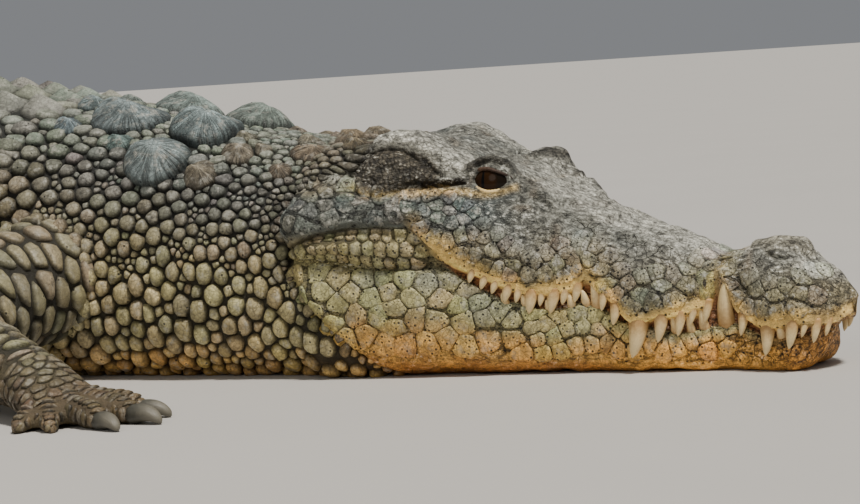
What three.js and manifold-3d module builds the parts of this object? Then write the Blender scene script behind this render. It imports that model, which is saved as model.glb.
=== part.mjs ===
// Nile crocodile at rest, life size, as a still museum model.
// Millimetres, +Z up, the snout points along +X and the animal's right side faces -Y.
// X = 0 is the rear edge of the skull table, and the floor is z = 0.
import * as THREE from "three";
import { ConvexGeometry } from "three/addons/geometries/ConvexGeometry.js";
import { mergeVertices } from "three/addons/utils/BufferGeometryUtils.js";
import Module from "manifold-3d";

const wasm = await Module();
wasm.setup();

// ---------------------------------------------------------------- driving dimensions
const BODY_LENGTH = 3300; // snout tip to tail tip along the spine
const SNOUT_TIP = 454; // ahead of the skull table
const HEAD_END = 100; // behind the skull table, where the neck begins
const NECK_END = 410;
const CHEST_END = 760;
const HIP_END = 1240;
const TAIL_TIP = BODY_LENGTH - SNOUT_TIP;
const TAIL_PIECES = 5;
const CRESTS_PER_PIECE = 7;
const SEAM = 0.4; // gap between neighbouring pieces
const FACET = 0.15; // how far a joined solid's facets may stray when they are merged
const TAIL_BEND = THREE.MathUtils.degToRad(32);
const BEND_START = 1080;
const EYE_RADIUS = 21;
const EYE_CENTRE = new THREE.Vector3(111, 58, 190); // mirrored for the right eye
const MOUTH_DEPTH = 13; // depth of the open line between the lips

// ---------------------------------------------------------------- curves
/** Smooth curve through a few points that never overshoots them. */
function curve(points) {
  const last = points.length - 1;
  const slopes = [];
  for (let i = 0; i < last; i += 1) {
    slopes.push((points[i + 1][1] - points[i][1]) / (points[i + 1][0] - points[i][0]));
  }
  const tangents = points.map((_, i) => {
    if (i === 0) return slopes[0];
    if (i === last) return slopes[last - 1];
    const product = slopes[i - 1] * slopes[i];
    return product <= 0 ? 0 : (2 * product) / (slopes[i - 1] + slopes[i]);
  });
  return (x) => {
    if (x <= points[0][0]) return points[0][1];
    if (x >= points[last][0]) return points[last][1];
    let i = 0;
    while (x > points[i + 1][0]) i += 1;
    const width = points[i + 1][0] - points[i][0];
    const t = (x - points[i][0]) / width;
    const s = 1 - t;
    return (
      (1 + 2 * t) * s * s * points[i][1] +
      t * s * s * width * tangents[i] +
      t * t * (3 - 2 * t) * points[i + 1][1] -
      t * t * s * width * tangents[i + 1]
    );
  };
}

// Body, by distance behind the skull table.
const bodyTop = curve([
  [100, 234], [150, 241], [204, 250], [306, 269], [400, 286], [470, 299], [530, 310], [620, 321], [750, 332],
  [900, 327], [1050, 307], [1240, 262], [1500, 206], [1800, 168], [2150, 134], [2450, 96], [2700, 52],
  [TAIL_TIP, 12],
]);
const bodyHalfWidth = curve([
  [100, 139], [220, 156], [300, 162], [450, 190], [600, 218], [750, 232], [900, 226], [1050, 196],
  [1240, 146], [1500, 100], [1800, 74], [2100, 54], [2400, 36], [2650, 21], [TAIL_TIP, 5],
]);
const bodyWaist = curve([[100, 0.5], [400, 0.42], [750, 0.4], [1240, 0.44], [1800, 0.42], [TAIL_TIP, 0.5]]);
const bodyRound = curve([[100, 2.4], [750, 2.25], [1240, 2.1], [1700, 2.5], [TAIL_TIP, 2]]);
const bellyRound = curve([[100, 3.4], [400, 3.4], [750, 3.2], [1240, 2.6], [1700, 2.8], [TAIL_TIP, 2]]);

// Upper head, by distance ahead of the skull table: half-width and height of each line along it.
const lipWidth = curve([
  [-100, 139], [-60, 138], [20, 124], [80, 108], [140, 88], [200, 73], [265, 66], [310, 54], [345, 43],
  [380, 47], [408, 50], [422, 46], [434, 37], [443, 25], [450, 12], [453, 4],
]);
const lipHeight = curve([
  [-100, 127.6], [-28, 119.6], [50, 113], [66, 114], [86, 108], [112, 94], [150, 79], [195, 82], [207, 90],
  [230, 71], [252, 49], [264, 48], [300, 55], [320, 60], [336, 88], [352, 54], [370, 43], [400, 42], [430, 46],
  [443, 48], [453, 58],
]);
const cheekWidth = curve([
  [-100, 141], [-20, 134], [15, 128], [50, 119], [80, 110], [114, 99], [150, 88], [200, 75], [265, 68],
  [310, 56], [345, 44], [380, 49], [408, 52], [422, 48], [434, 39], [443, 27], [450, 14], [453, 6],
]);
const cheekHeight = curve([
  [-100, 156], [-20, 166], [15, 168], [50, 160], [80, 142], [114, 124], [150, 110], [200, 104], [265, 76],
  [310, 78], [336, 94], [352, 78], [380, 66], [415, 64], [453, 62],
]);
const templeWidth = curve([
  [-100, 128], [-60, 116], [-20, 103], [15, 96], [50, 90], [80, 85], [114, 81], [150, 76], [200, 64],
  [265, 55], [310, 46], [345, 38], [380, 41], [408, 42], [422, 37], [434, 29], [443, 20], [450, 10], [453, 4],
]);
const templeHeight = curve([
  [-100, 192], [15, 192], [50, 190], [114, 186], [150, 160], [200, 130], [265, 103], [310, 92],
  [336, 95], [352, 92], [380, 92], [410, 88], [430, 78], [443, 70], [453, 65],
]);
const crestWidth = curve([
  [-100, 86], [-20, 79], [15, 76], [50, 71], [102, 66], [150, 61], [200, 48], [265, 37], [310, 32],
  [345, 28], [380, 28], [408, 25], [422, 21], [434, 16], [443, 10], [450, 5], [453, 2],
]);
const crestHeight = curve([
  [-100, 226], [-45, 222], [-25, 227], [-10, 238], [15, 245], [46, 232], [68, 218], [84, 211], [102, 216],
  [119, 212], [135, 199], [150, 183], [175, 163], [200, 150], [228, 139], [265, 126], [290, 117], [310, 108],
  [325, 106], [345, 111], [375, 119], [395, 113], [412, 99], [430, 85], [443, 74], [453, 67],
]);
const midHeight = curve([
  [-100, 234], [-60, 235], [28, 234], [60, 224], [85, 212], [114, 201], [150, 183], [200, 161], [232, 147],
  [280, 130], [304, 122], [328, 111], [345, 113], [375, 121], [395, 121], [410, 113], [429, 96], [443, 80],
  [453, 68],
]);

// Lower jaw.
const jawWidth = curve([
  [-100, 138], [20, 121], [80, 105], [140, 85], [200, 70], [265, 60], [310, 49], [345, 41], [385, 43],
  [405, 44], [420, 38], [432, 27], [440, 14], [444, 5],
]);
const jawHeight = curve([
  [-100, 127], [-28, 119], [67, 112], [86, 100], [104, 88], [128, 74], [155, 66], [199, 70], [218, 66],
  [239, 51], [301, 40], [347, 45], [367, 38], [406, 30], [444, 31],
]);
const chinHeight = curve([[404, 0], [422, 7], [434, 17], [444, 28]]);

/** Height of the upper jaw's lower edge, which meets the lower jaw behind the last teeth. */
function lipEdge(x) {
  return Math.max(lipHeight(x), jawHeight(x) + 4 * SEAM);
}

/** Height of the inner meeting line of the jaws. */
function mouthHeight(x) {
  return 0.5 * (lipEdge(x) + jawHeight(x));
}

// ---------------------------------------------------------------- the spine in plan
const SPINE_STEP = 10;
const spinePoints = [];
for (let s = 0, x = 0, y = 0; s <= TAIL_TIP + SPINE_STEP; s += SPINE_STEP) {
  const along = Math.max(0, (s - BEND_START) / (TAIL_TIP - BEND_START));
  const heading = TAIL_BEND * Math.sin(1.35 * Math.PI * along);
  spinePoints.push({ x, y, heading });
  x -= SPINE_STEP * Math.cos(heading);
  y -= SPINE_STEP * Math.sin(heading);
}

/** Place and heading of the spine at a distance behind the skull table. */
function spine(s) {
  const i = Math.min(Math.floor(s / SPINE_STEP), spinePoints.length - 2);
  const t = s / SPINE_STEP - i;
  const a = spinePoints[i];
  const b = spinePoints[i + 1];
  return {
    x: a.x + t * (b.x - a.x),
    y: a.y + t * (b.y - a.y),
    heading: a.heading + t * (b.heading - a.heading),
  };
}

/** Point at a side distance and a height from the spine. */
function fromSpine(s, side, z) {
  const c = spine(s);
  return new THREE.Vector3(c.x - side * Math.sin(c.heading), c.y + side * Math.cos(c.heading), z);
}

// ---------------------------------------------------------------- solids
/** Closed solid through rings of equal length, with a fan at each end. */
function loft(rings) {
  const n = rings[0].length;
  const positions = [];
  const indices = [];
  rings.forEach((ring) => ring.forEach((p) => positions.push(p.x, p.y, p.z)));
  for (let i = 0; i < rings.length - 1; i += 1) {
    for (let j = 0; j < n; j += 1) {
      const a = i * n + j;
      const b = i * n + ((j + 1) % n);
      indices.push(a, b, a + n, b, b + n, a + n);
    }
  }
  [0, rings.length - 1].forEach((row) => {
    const centre = rings[row].reduce((sum, p) => sum.add(p), new THREE.Vector3()).divideScalar(n);
    const tip = positions.length / 3;
    positions.push(centre.x, centre.y, centre.z);
    for (let j = 0; j < n; j += 1) {
      const a = row * n + j;
      const b = row * n + ((j + 1) % n);
      indices.push(...(row === 0 ? [b, a, tip] : [a, b, tip]));
    }
  });
  const geometry = new THREE.BufferGeometry();
  geometry.setAttribute("position", new THREE.Float32BufferAttribute(positions, 3));
  geometry.setIndex(indices);
  return outward(geometry);
}

/** Turns the faces outward where the solid is inside out. */
function outward(geometry) {
  const p = geometry.getAttribute("position");
  const index = geometry.getIndex().array;
  const corner = (i) => new THREE.Vector3().fromBufferAttribute(p, index[i]);
  let volume = 0;
  for (let i = 0; i < index.length; i += 3) {
    volume += corner(i).dot(corner(i + 1).cross(corner(i + 2)));
  }
  if (volume < 0) {
    for (let i = 0; i < index.length; i += 3) {
      [index[i], index[i + 1]] = [index[i + 1], index[i]];
    }
  }
  return geometry;
}

/** Manifold solid of a closed geometry. */
function solid(geometry) {
  const bare = new THREE.BufferGeometry();
  bare.setAttribute("position", geometry.getAttribute("position"));
  bare.setIndex(geometry.getIndex());
  const merged = outward(mergeVertices(bare, 1e-4));
  return new wasm.Manifold(
    new wasm.Mesh({
      numProp: 3,
      vertProperties: new Float32Array(merged.getAttribute("position").array),
      triVerts: new Uint32Array(merged.getIndex().array),
    }),
  );
}

/** Geometry of a manifold solid, with its needless small facets merged. */
function geometryOf(body) {
  const mesh = body.simplify(FACET).getMesh();
  const geometry = new THREE.BufferGeometry();
  geometry.setAttribute("position", new THREE.BufferAttribute(new Float32Array(mesh.vertProperties), 3));
  geometry.setIndex(new THREE.BufferAttribute(new Uint32Array(mesh.triVerts), 1));
  return geometry;
}

/** Everything above a level, as a solid to intersect with. */
function aboveLevel(z) {
  const slab = new THREE.BoxGeometry(6000, 3000, 1000).translate(-1200, 0, z + 500);
  return solid(slab);
}

/** Joins solids into one. */
function union(bodies) {
  return bodies.reduce((sum, body) => sum.add(body));
}

/** The largest body of a solid, without the chips that a cut leaves. */
function mainBody(body) {
  return body.decompose().sort((a, b) => b.volume() - a.volume())[0];
}

/** Evenly spaced numbers from one value to another. */
function steps(from, to, count) {
  return Array.from({ length: count + 1 }, (_, i) => from + ((to - from) * i) / count);
}

// ---------------------------------------------------------------- finishes
const FINISHES = {
  hide: { color: 0x6f716a, roughness: 0.72, metalness: 0 },
  headHide: { color: 0x7c7d70, roughness: 0.66, metalness: 0 },
  jawHide: { color: 0xa38d62, roughness: 0.66, metalness: 0 },
  claw: { color: 0x5a5d5f, roughness: 0.4, metalness: 0 },
  eye: { color: 0x3a2a1a, roughness: 0.08, metalness: 0 },
};

const group = new THREE.Group();

/** Adds a named piece in its finish. */
function addPiece(name, geometry, finish) {
  const flat = geometry.index ? geometry.toNonIndexed() : geometry;
  flat.computeVertexNormals();
  const mesh = new THREE.Mesh(flat, new THREE.MeshStandardMaterial(FINISHES[finish]));
  mesh.name = name;
  group.add(mesh);
}

// ---------------------------------------------------------------- neck, trunk and tail
const BODY_SIDES = 20;

/** Ring of the body at a distance behind the skull table. */
function bodyRing(s, swell = 0) {
  const top = bodyTop(s);
  const waist = top * bodyWaist(s);
  return Array.from({ length: BODY_SIDES }, (_, j) => {
    const angle = (2 * Math.PI * j) / BODY_SIDES - Math.PI / 2;
    const upper = Math.sin(angle) >= 0;
    const power = 2 / (upper ? bodyRound(s) : bellyRound(s));
    const across = Math.abs(Math.cos(angle)) ** power * Math.sign(Math.cos(angle));
    const rise = Math.abs(Math.sin(angle)) ** power;
    const side = (bodyHalfWidth(s) + swell) * (Math.abs(Math.cos(angle)) < 1e-9 ? 0 : across);
    const z = upper ? waist + (top + swell - waist) * rise : Math.max(-swell, waist * (1 - 1.04 * rise));
    return fromSpine(s, side, z);
  });
}

/** Length of the body between two distances. */
function bodyLength(from, to, count, swell = 0) {
  return loft(steps(from, to, count).map((s) => bodyRing(s, swell)));
}

/** Height of the back at a distance behind the skull table and to one side of the spine. */
function backHeight(s, side) {
  const round = bodyRound(s);
  const waist = bodyTop(s) * bodyWaist(s);
  const share = Math.min(1, Math.abs(side) / bodyHalfWidth(s));
  return waist + (bodyTop(s) - waist) * (1 - share ** round) ** (1 / round);
}

/** Keeled horn plate on the back: an oval base sunk in the hide, with a ridge along it. */
function keeledScute({ at, side, length, width, height }) {
  const base = backHeight(at, side);
  const points = [];
  for (let k = 0; k < 8; k += 1) {
    const angle = (2 * Math.PI * k) / 8;
    const along = at - 0.5 * length * Math.cos(angle);
    points.push(fromSpine(along, side + 0.5 * width * Math.sin(angle), base - 14));
    points.push(fromSpine(at - 0.46 * length * Math.cos(angle), side + 0.42 * width * Math.sin(angle), base + 2));
  }
  points.push(fromSpine(at - 0.22 * length, side, base + 0.7 * height));
  points.push(fromSpine(at + 0.3 * length, side, base + height));
  const hull = new ConvexGeometry(points);
  hull.deleteAttribute("normal");
  return solid(mergeVertices(hull, 1e-3));
}

const NUCHAL_SCUTES = [
  { at: 243, side: 40, length: 88, width: 70, height: 25 },
  { at: 268, side: 98, length: 66, width: 46, height: 22 },
  { at: 347, side: 42, length: 84, width: 72, height: 25 },
];

const TRUNK = [
  { name: "neck", from: HEAD_END, to: NECK_END, count: 6 },
  { name: "chest", from: NECK_END, to: CHEST_END, count: 5 },
  { name: "belly_and_hips", from: CHEST_END, to: HIP_END, count: 8 },
];
const neckScutes = NUCHAL_SCUTES.flatMap((scute) => [-1, 1].map((k) => keeledScute({ ...scute, side: k * scute.side })));
TRUNK.forEach(({ name, from, to, count }) => {
  const length = solid(bodyLength(from + SEAM, to, count));
  addPiece(name, geometryOf(name === "neck" ? union([length, ...neckScutes]) : length), "hide");
});

/** Upright crest plate of the tail: a thin wedge that leans back. */
function crestPlate(s, side, length, height) {
  const foot = backHeight(s, side) - 12;
  const section = (rise, thickness, from, to) =>
    [[from, -1], [to, -1], [to, 1], [from, 1]].map(([along, k]) =>
      fromSpine(s + along * length, side + k * thickness, foot + rise),
    );
  return solid(loft([section(0, 5, -0.5, 0.5), section(12 + height, 1.4, 0.22, 0.48)]));
}

const TAIL_PIECE = (TAIL_TIP - HIP_END) / TAIL_PIECES;
const CREST_PITCH = TAIL_PIECE / CRESTS_PER_PIECE;
const DOUBLE_CREST_END = HIP_END + 2.3 * TAIL_PIECE;

/** Crest plates of one length of the tail, in two rows that draw together into one. */
function crestPlates(from) {
  const places = Array.from({ length: CRESTS_PER_PIECE }, (_, i) => from + (i + 0.5) * CREST_PITCH);
  return places.flatMap((s) => {
    const grown = Math.min(1, (s - HIP_END + 130) / 420);
    const fade = Math.min(1, (TAIL_TIP + 60 - s) / 420);
    if (s > DOUBLE_CREST_END) return [crestPlate(s, 0, 0.9 * CREST_PITCH, 50 * fade)];
    const closing = 1 - 0.55 * ((s - HIP_END) / (DOUBLE_CREST_END - HIP_END)) ** 2;
    const side = 0.62 * bodyHalfWidth(s) * closing;
    return [-1, 1].map((k) => crestPlate(s, k * side, 0.9 * CREST_PITCH, 38 * grown));
  });
}

for (let i = 0; i < TAIL_PIECES; i += 1) {
  const from = HIP_END + i * TAIL_PIECE;
  const length = union([solid(bodyLength(from + SEAM, from + TAIL_PIECE, 4)), ...crestPlates(from)]);
  addPiece(`tail_${i + 1}`, geometryOf(length), "hide");
}

// ---------------------------------------------------------------- head and lower jaw
const HEAD_STATIONS = [
  -100, -60, -25, -10, 15, 46, 68, 86, 102, 119, 135, 150, 175, 195, 207, 230, 252, 266, 300, 321, 336, 351, 368,
  384, 400, 411, 422, 433, 443, 449, 453,
];
const JAW_STATIONS = HEAD_STATIONS.filter((x) => x <= 443);

/** Both halves of a ring, from the right half's points, which run from the lower middle to the upper middle. */
function mirrored(x, half) {
  const right = half.map(([y, z]) => new THREE.Vector3(x, -y, z));
  const left = half.slice(1, -1).reverse().map(([y, z]) => new THREE.Vector3(x, y, z));
  return [...right, ...left];
}

/** Ring of the upper head. */
function headRing(x) {
  const lip = lipEdge(x);
  const inner = Math.max(0.45 * lipWidth(x), lipWidth(x) - MOUTH_DEPTH);
  const palate = Math.min(lip - 0.2, mouthHeight(x) + SEAM);
  return mirrored(x, [
    [0, palate],
    [inner, palate],
    [inner + 1, lip],
    [lipWidth(x), lip + 1],
    [lipWidth(x) + 1.5, lip + Math.min(9, 0.5 * (cheekHeight(x) - lip))],
    [cheekWidth(x), cheekHeight(x)],
    [templeWidth(x), templeHeight(x)],
    [0.45 * templeWidth(x) + 0.55 * crestWidth(x), 0.4 * templeHeight(x) + 0.6 * crestHeight(x)],
    [crestWidth(x), crestHeight(x)],
    [0.55 * crestWidth(x), 0.25 * crestHeight(x) + 0.75 * midHeight(x)],
    [0, midHeight(x)],
  ]);
}

/** Ring of the lower jaw. */
function jawRing(x) {
  const width = jawWidth(x);
  const margin = Math.min(jawHeight(x), mouthHeight(x) - SEAM - 0.2);
  const chin = chinHeight(x);
  const inner = Math.max(0.4 * width, Math.min(width - 3, lipWidth(x) - MOUTH_DEPTH));
  return mirrored(x, [
    [0, chin],
    [0.7 * width, chin],
    [0.92 * width, chin + 0.16 * (margin - chin)],
    [width + 2, chin + 0.66 * (margin - chin)],
    [width, margin - 1],
    [inner + 1, margin],
    [inner, mouthHeight(x) - SEAM],
    [0, mouthHeight(x) - SEAM],
  ]);
}

/** Cone tooth from its root to its tip, swollen all round by a clearance. */
function tooth(root, tip, coneRadius, clearance) {
  const axis = new THREE.Vector3().subVectors(tip, root);
  const radius = coneRadius + clearance;
  const length = axis.length() + 3 * clearance;
  const lean = new THREE.Quaternion().setFromUnitVectors(new THREE.Vector3(0, 1, 0), axis.normalize());
  const profile = [[0, 0], [radius, 0], [0, length]];
  const lathe = new THREE.LatheGeometry(profile.map(([r, h]) => new THREE.Vector2(r, h)), 5);
  const cone = lathe.applyQuaternion(lean).translate(root.x, root.y, root.z);
  cone.deleteAttribute("normal");
  cone.deleteAttribute("uv");
  return solid(mergeVertices(cone, 1e-3));
}

// Teeth that the closed mouth shows: place along the jaw, length beyond the lip and radius.
const UPPER_TEETH = [
  [432, 22, 5], [408, 28, 6], [382, 29, 6], [357, 22, 4.5], [322, 22, 4.5], [298, 24, 4.5], [280, 30, 6],
  [257, 36, 9], [236, 22, 5], [223, 18, 4.5], [198, 18, 4.5], [174, 22, 6], [152, 20, 6], [133, 15, 5],
];
const LOWER_TEETH = [
  [391, 18, 4.5], [331, 46, 7.5], [309, 22, 4], [289, 20, 4], [215, 26, 5.5], [187, 18, 4.5],
];

/** Teeth of one jaw on both sides, swollen by a clearance where the other jaw makes room for them. */
function teeth(rows, upper, clearance) {
  return rows.flatMap(([x, length, radius]) =>
    [-1, 1].map((k) => {
      const width = upper ? lipWidth(x) - 4 : jawWidth(x) - 4;
      const lip = upper ? lipEdge(x) : jawHeight(x);
      const way = upper ? -1 : 1;
      const root = new THREE.Vector3(x, k * (width - 1), lip - way * 9);
      const tip = new THREE.Vector3(x - 4, k * (width + (upper ? 3 : 5)), lip + way * length);
      return tooth(root, tip, radius, clearance);
    }),
  );
}

const eyeBall = (k, radius) => {
  const ball = new THREE.SphereGeometry(radius, 12, 8).translate(EYE_CENTRE.x, k * EYE_CENTRE.y, EYE_CENTRE.z);
  ball.deleteAttribute("normal");
  ball.deleteAttribute("uv");
  return mergeVertices(ball, 1e-3);
};

const skull = solid(loft(HEAD_STATIONS.map(headRing)));
const mandible = solid(loft(JAW_STATIONS.map(jawRing)));
const sockets = union([-1, 1].map((k) => solid(eyeBall(k, EYE_RADIUS + SEAM))));
const head = union([skull, ...teeth(UPPER_TEETH, true, 0)]).subtract(sockets);
const lowerJaw = union([mandible, ...teeth(LOWER_TEETH, false, 0)]);
const headRoom = union([...teeth(UPPER_TEETH, true, 1.4)]);
const jawRoom = union([...teeth(LOWER_TEETH, false, 1.4)]);
addPiece("head", geometryOf(mainBody(head.subtract(jawRoom))), "headHide");
addPiece("lower_jaw", geometryOf(mainBody(lowerJaw.subtract(headRoom))), "jawHide");
addPiece("eye_right", eyeBall(-1, EYE_RADIUS), "eye");
addPiece("eye_left", eyeBall(1, EYE_RADIUS), "eye");

// ---------------------------------------------------------------- legs
const LEG_SIDES = 10;
const DIGIT_SIDES = 6;
const trunkRoom = TRUNK.map(({ from, to, count }) => solid(bodyLength(from, to + SEAM, count, 2 * SEAM)));
const roomForLegs = union([...trunkRoom, solid(bodyLength(HIP_END, HIP_END + TAIL_PIECE, 4, 2 * SEAM))]);
const floorUp = aboveLevel(0);

// Digits run from the inner one outward, each with its angle, length and thickness.
// Each leg's joints on the animal's right side; a left leg has its own places, mirrored.
const LEGS = {
  front_right: {
    side: -1,
    joints: [[-375, 120, 118], [-398, 250, 92], [-376, 330, 66], [-278, 374, 50], [-218, 394, 38]],
    radii: [[0, 62], [0.3, 58], [0.55, 45], [0.8, 34], [1, 29]],
    heading: -15,
    digits: [[24, 96, 12], [9, 114, 13], [-8, 112, 12], [-34, 94, 9], [-62, 76, 8]],
    palm: [52, 40, 17],
  },
  front_left: {
    side: 1,
    joints: [[-375, 120, 118], [-440, 250, 88], [-446, 322, 62], [-360, 366, 48], [-302, 382, 38]],
    radii: [[0, 62], [0.3, 58], [0.55, 45], [0.8, 34], [1, 29]],
    heading: -20,
    digits: [[28, 92, 12], [11, 112, 13], [-8, 112, 12], [-32, 94, 9], [-56, 76, 8]],
    palm: [52, 40, 17],
  },
  hind_right: {
    side: -1,
    joints: [[-1120, 90, 128], [-1040, 226, 100], [-1032, 296, 78], [-1120, 336, 52], [-1176, 352, 40]],
    radii: [[0, 86], [0.3, 76], [0.52, 58], [0.8, 38], [1, 33]],
    heading: -40,
    digits: [[24, 110, 12], [4, 132, 13], [-16, 138, 12], [-36, 118, 11]],
    palm: [74, 42, 19],
  },
  hind_left: {
    side: 1,
    joints: [[-1120, 90, 128], [-1062, 226, 98], [-1068, 300, 74], [-1160, 332, 50], [-1214, 346, 40]],
    radii: [[0, 86], [0.3, 76], [0.52, 58], [0.8, 38], [1, 33]],
    heading: -34,
    digits: [[24, 110, 12], [4, 132, 13], [-16, 138, 12], [-36, 118, 11]],
    palm: [74, 42, 19],
  },
};
const CLAWED_DIGITS = 3;

/** Ring around a path point, upright oval across the path. */
function limbRing(point, tangent, wide, high, sides = LEG_SIDES) {
  const across = new THREE.Vector3(0, 0, 1).cross(tangent).normalize();
  const up = new THREE.Vector3().crossVectors(tangent, across);
  return Array.from({ length: sides }, (_, j) => {
    const angle = (2 * Math.PI * j) / sides;
    return point
      .clone()
      .addScaledVector(across, wide * Math.cos(angle))
      .addScaledVector(up, high * Math.sin(angle));
  });
}

/** Limb between two shares of its path; its last ring can be moved on and its rings swollen. */
function limbLength(path, radius, { from, to, count, endOff = 0, swell = 0 }) {
  return loft(
    steps(from, to, count).map((u, i) => {
      const tangent = path.getTangent(u);
      const point = path.getPoint(u).addScaledVector(tangent, i === count ? endOff : 0);
      return limbRing(point, tangent, radius(u) + swell, radius(u) * (1.04 - 0.12 * u) + swell);
    }),
  );
}

/** Direction on the floor at an angle away from straight ahead, outward on the leg's side. */
function floorDirection(side, degrees) {
  const angle = THREE.MathUtils.degToRad(degrees);
  return new THREE.Vector3(Math.cos(angle), side * Math.sin(-angle), 0);
}

/** Digit from the palm to the end of its flesh, low on the floor. */
function digitSolid(start, end, direction, radius) {
  const middle = new THREE.Vector3().lerpVectors(start, end, 0.5);
  middle.z += 4;
  const path = new THREE.QuadraticBezierCurve3(start, middle, end);
  return solid(
    loft(
      steps(0, 1, 2).map((u) =>
        limbRing(
          path.getPoint(u),
          u === 1 ? direction : path.getTangent(u),
          radius * (1 - 0.3 * u),
          radius * (0.95 - 0.3 * u),
          DIGIT_SIDES,
        ),
      ),
    ),
  );
}

/** Curved claw that follows a digit. */
function clawSolid(end, direction, radius) {
  const start = end.clone().addScaledVector(direction, SEAM);
  const tip = end.clone().addScaledVector(direction, 3.1 * radius);
  tip.z = 1.2;
  const middle = end.clone().addScaledVector(direction, 1.7 * radius);
  middle.z = end.z + 0.35 * radius;
  const path = new THREE.QuadraticBezierCurve3(start, middle, tip);
  return loft(
    steps(0, 1, 3).map((u) => {
      const r = radius * 0.62 * (1 - u) ** 0.7 + 0.7;
      return limbRing(path.getPoint(u), u === 0 ? direction : path.getTangent(u), r, r, DIGIT_SIDES);
    }),
  );
}

/** Limb, foot and claws of one leg. */
function addLeg(name, leg) {
  const place = ([x, y, z]) => new THREE.Vector3(x, leg.side * y, z);
  const path = new THREE.CatmullRomCurve3(leg.joints.map(place));
  const radius = curve(leg.radii);
  const elbow = 0.52;
  const thigh = { from: 0, to: elbow, count: 5 };
  const upper = solid(limbLength(path, radius, thigh)).subtract(roomForLegs);
  const upperRoom = solid(limbLength(path, radius, { ...thigh, endOff: SEAM, swell: 2 * SEAM }));
  addPiece(`${name}_upper_leg`, geometryOf(upper.intersect(floorUp)), "hide");
  const shin = { from: elbow, to: 1, count: 4 };
  const lower = solid(limbLength(path, radius, shin)).subtract(union([upperRoom, upper]));
  const lowerRoom = solid(limbLength(path, radius, { ...shin, endOff: SEAM, swell: 2 * SEAM }));
  addPiece(`${name}_lower_leg`, geometryOf(mainBody(lower.intersect(floorUp))), "hide");

  const wrist = path.getPoint(1);
  const ahead = floorDirection(leg.side, leg.heading);
  const [palmLength, palmWidth, palmHeight] = leg.palm;
  const knuckles = wrist.clone().addScaledVector(ahead, palmLength).setZ(palmHeight * 0.72);
  const palmPath = new THREE.QuadraticBezierCurve3(
    wrist.clone().addScaledVector(ahead, -4),
    wrist.clone().addScaledVector(ahead, 0.4 * palmLength).setZ(0.5 * (wrist.z + palmHeight)),
    knuckles,
  );
  const palm = solid(
    loft(
      steps(0, 1, 2).map((u) => {
        const wide = THREE.MathUtils.lerp(radius(1), palmWidth, u ** 0.7);
        const high = THREE.MathUtils.lerp(radius(1) * 0.92, palmHeight * 0.8, u);
        return limbRing(palmPath.getPoint(u), palmPath.getTangent(u), wide, high);
      }),
    ),
  );
  const ends = leg.digits.map(([angle, length, thick], i) => {
    const direction = floorDirection(leg.side, leg.heading + angle);
    const share = i / (leg.digits.length - 1) - 0.5;
    const across = new THREE.Vector3(-ahead.y, ahead.x, 0).multiplyScalar(leg.side * share * 1.25 * palmWidth);
    const start = knuckles.clone().addScaledVector(ahead, -14).add(across).setZ(thick * 0.9);
    const end = start.clone().addScaledVector(direction, length - 26).setZ(thick * 0.62);
    return { start, end, direction, thick };
  });
  const foot = union([palm, ...ends.map((d) => digitSolid(d.start, d.end, d.direction, d.thick))]);
  addPiece(`${name}_foot`, geometryOf(mainBody(foot.subtract(lowerRoom).intersect(floorUp))), "hide");
  ends.slice(0, CLAWED_DIGITS).forEach((d, i) => {
    addPiece(`${name}_claw_${i + 1}`, clawSolid(d.end, d.direction, d.thick), "claw");
  });
}

Object.entries(LEGS).forEach(([name, leg]) => addLeg(name, leg));

// The part's origin is the bottom centre of its box.
const box = new THREE.Box3().setFromObject(group);
group.position.set(-0.5 * (box.min.x + box.max.x), -0.5 * (box.min.y + box.max.y), -box.min.z);

export default group;
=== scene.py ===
"""A Nile crocodile at rest: one skin over the flesh, a coat of horny scales, eyes, lids, teeth and claws.

Shapes are worked out in millimetres in the animal's own frame (the rear edge of the skull table at X = 0,
the snout along +X, the floor at z = 0) and moved to the part's frame, in metres, when a mesh is made.
"""

import logging
import math
from dataclasses import dataclass, field
from enum import Enum
from typing import Callable, Sequence

import bmesh
import bpy
import numpy as np
from mathutils import Matrix, Vector
from mathutils.bvhtree import BVHTree
from mathutils.kdtree import KDTree


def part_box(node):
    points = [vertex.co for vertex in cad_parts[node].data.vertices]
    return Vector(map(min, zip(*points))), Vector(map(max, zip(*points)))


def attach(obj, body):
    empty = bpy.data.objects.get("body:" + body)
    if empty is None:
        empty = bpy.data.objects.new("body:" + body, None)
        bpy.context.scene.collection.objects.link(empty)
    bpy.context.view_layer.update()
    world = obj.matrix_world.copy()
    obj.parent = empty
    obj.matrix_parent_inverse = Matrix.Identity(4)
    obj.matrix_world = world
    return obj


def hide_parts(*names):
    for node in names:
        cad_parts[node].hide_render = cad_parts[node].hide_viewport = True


LOG = logging.getLogger("crocodile")
# lengths are in millimetres; places along the body are distances behind the skull table
MM = 0.001
TAIL_TIP = 2846.0
HIP_END = 1240.0
EYE_CENTRE = (111.0, 58.0, 190.0)
COAT_DEPTH = 3.0
ALMOND_POWER = 1.55
# half-width of one scale's patch on the bake map
PATCH = 0.0015
# how far the skin of toes, palms and limbs lies inside their plain shape
SKIN_TOE, SKIN_PALM, SKIN_LIMB = -4.2, -3.5, 1.0
# how many tries a spread makes for each scale, the room that scales keep, and how fast they move apart
TRIES, ROOM, PACE = 9, 1.06, 0.28
Array = np.ndarray


# ---------------------------------------------------------------- small mathematics
def smooth(low: float, high: float, value: Array) -> Array:
    """Smooth step from 0 at low to 1 at high."""
    t = np.clip((value - low) / (high - low), 0.0, 1.0)
    return t * t * (3.0 - 2.0 * t)


def bell(value: Array, centre: float, width: float) -> Array:
    """Rounded bump of height 1 at the centre."""
    return np.exp(-(((value - centre) / width) ** 2))


def mix(a: Array, b: Array, share: Array) -> Array:
    """Blend from a to b."""
    return a + (b - a) * share


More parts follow.
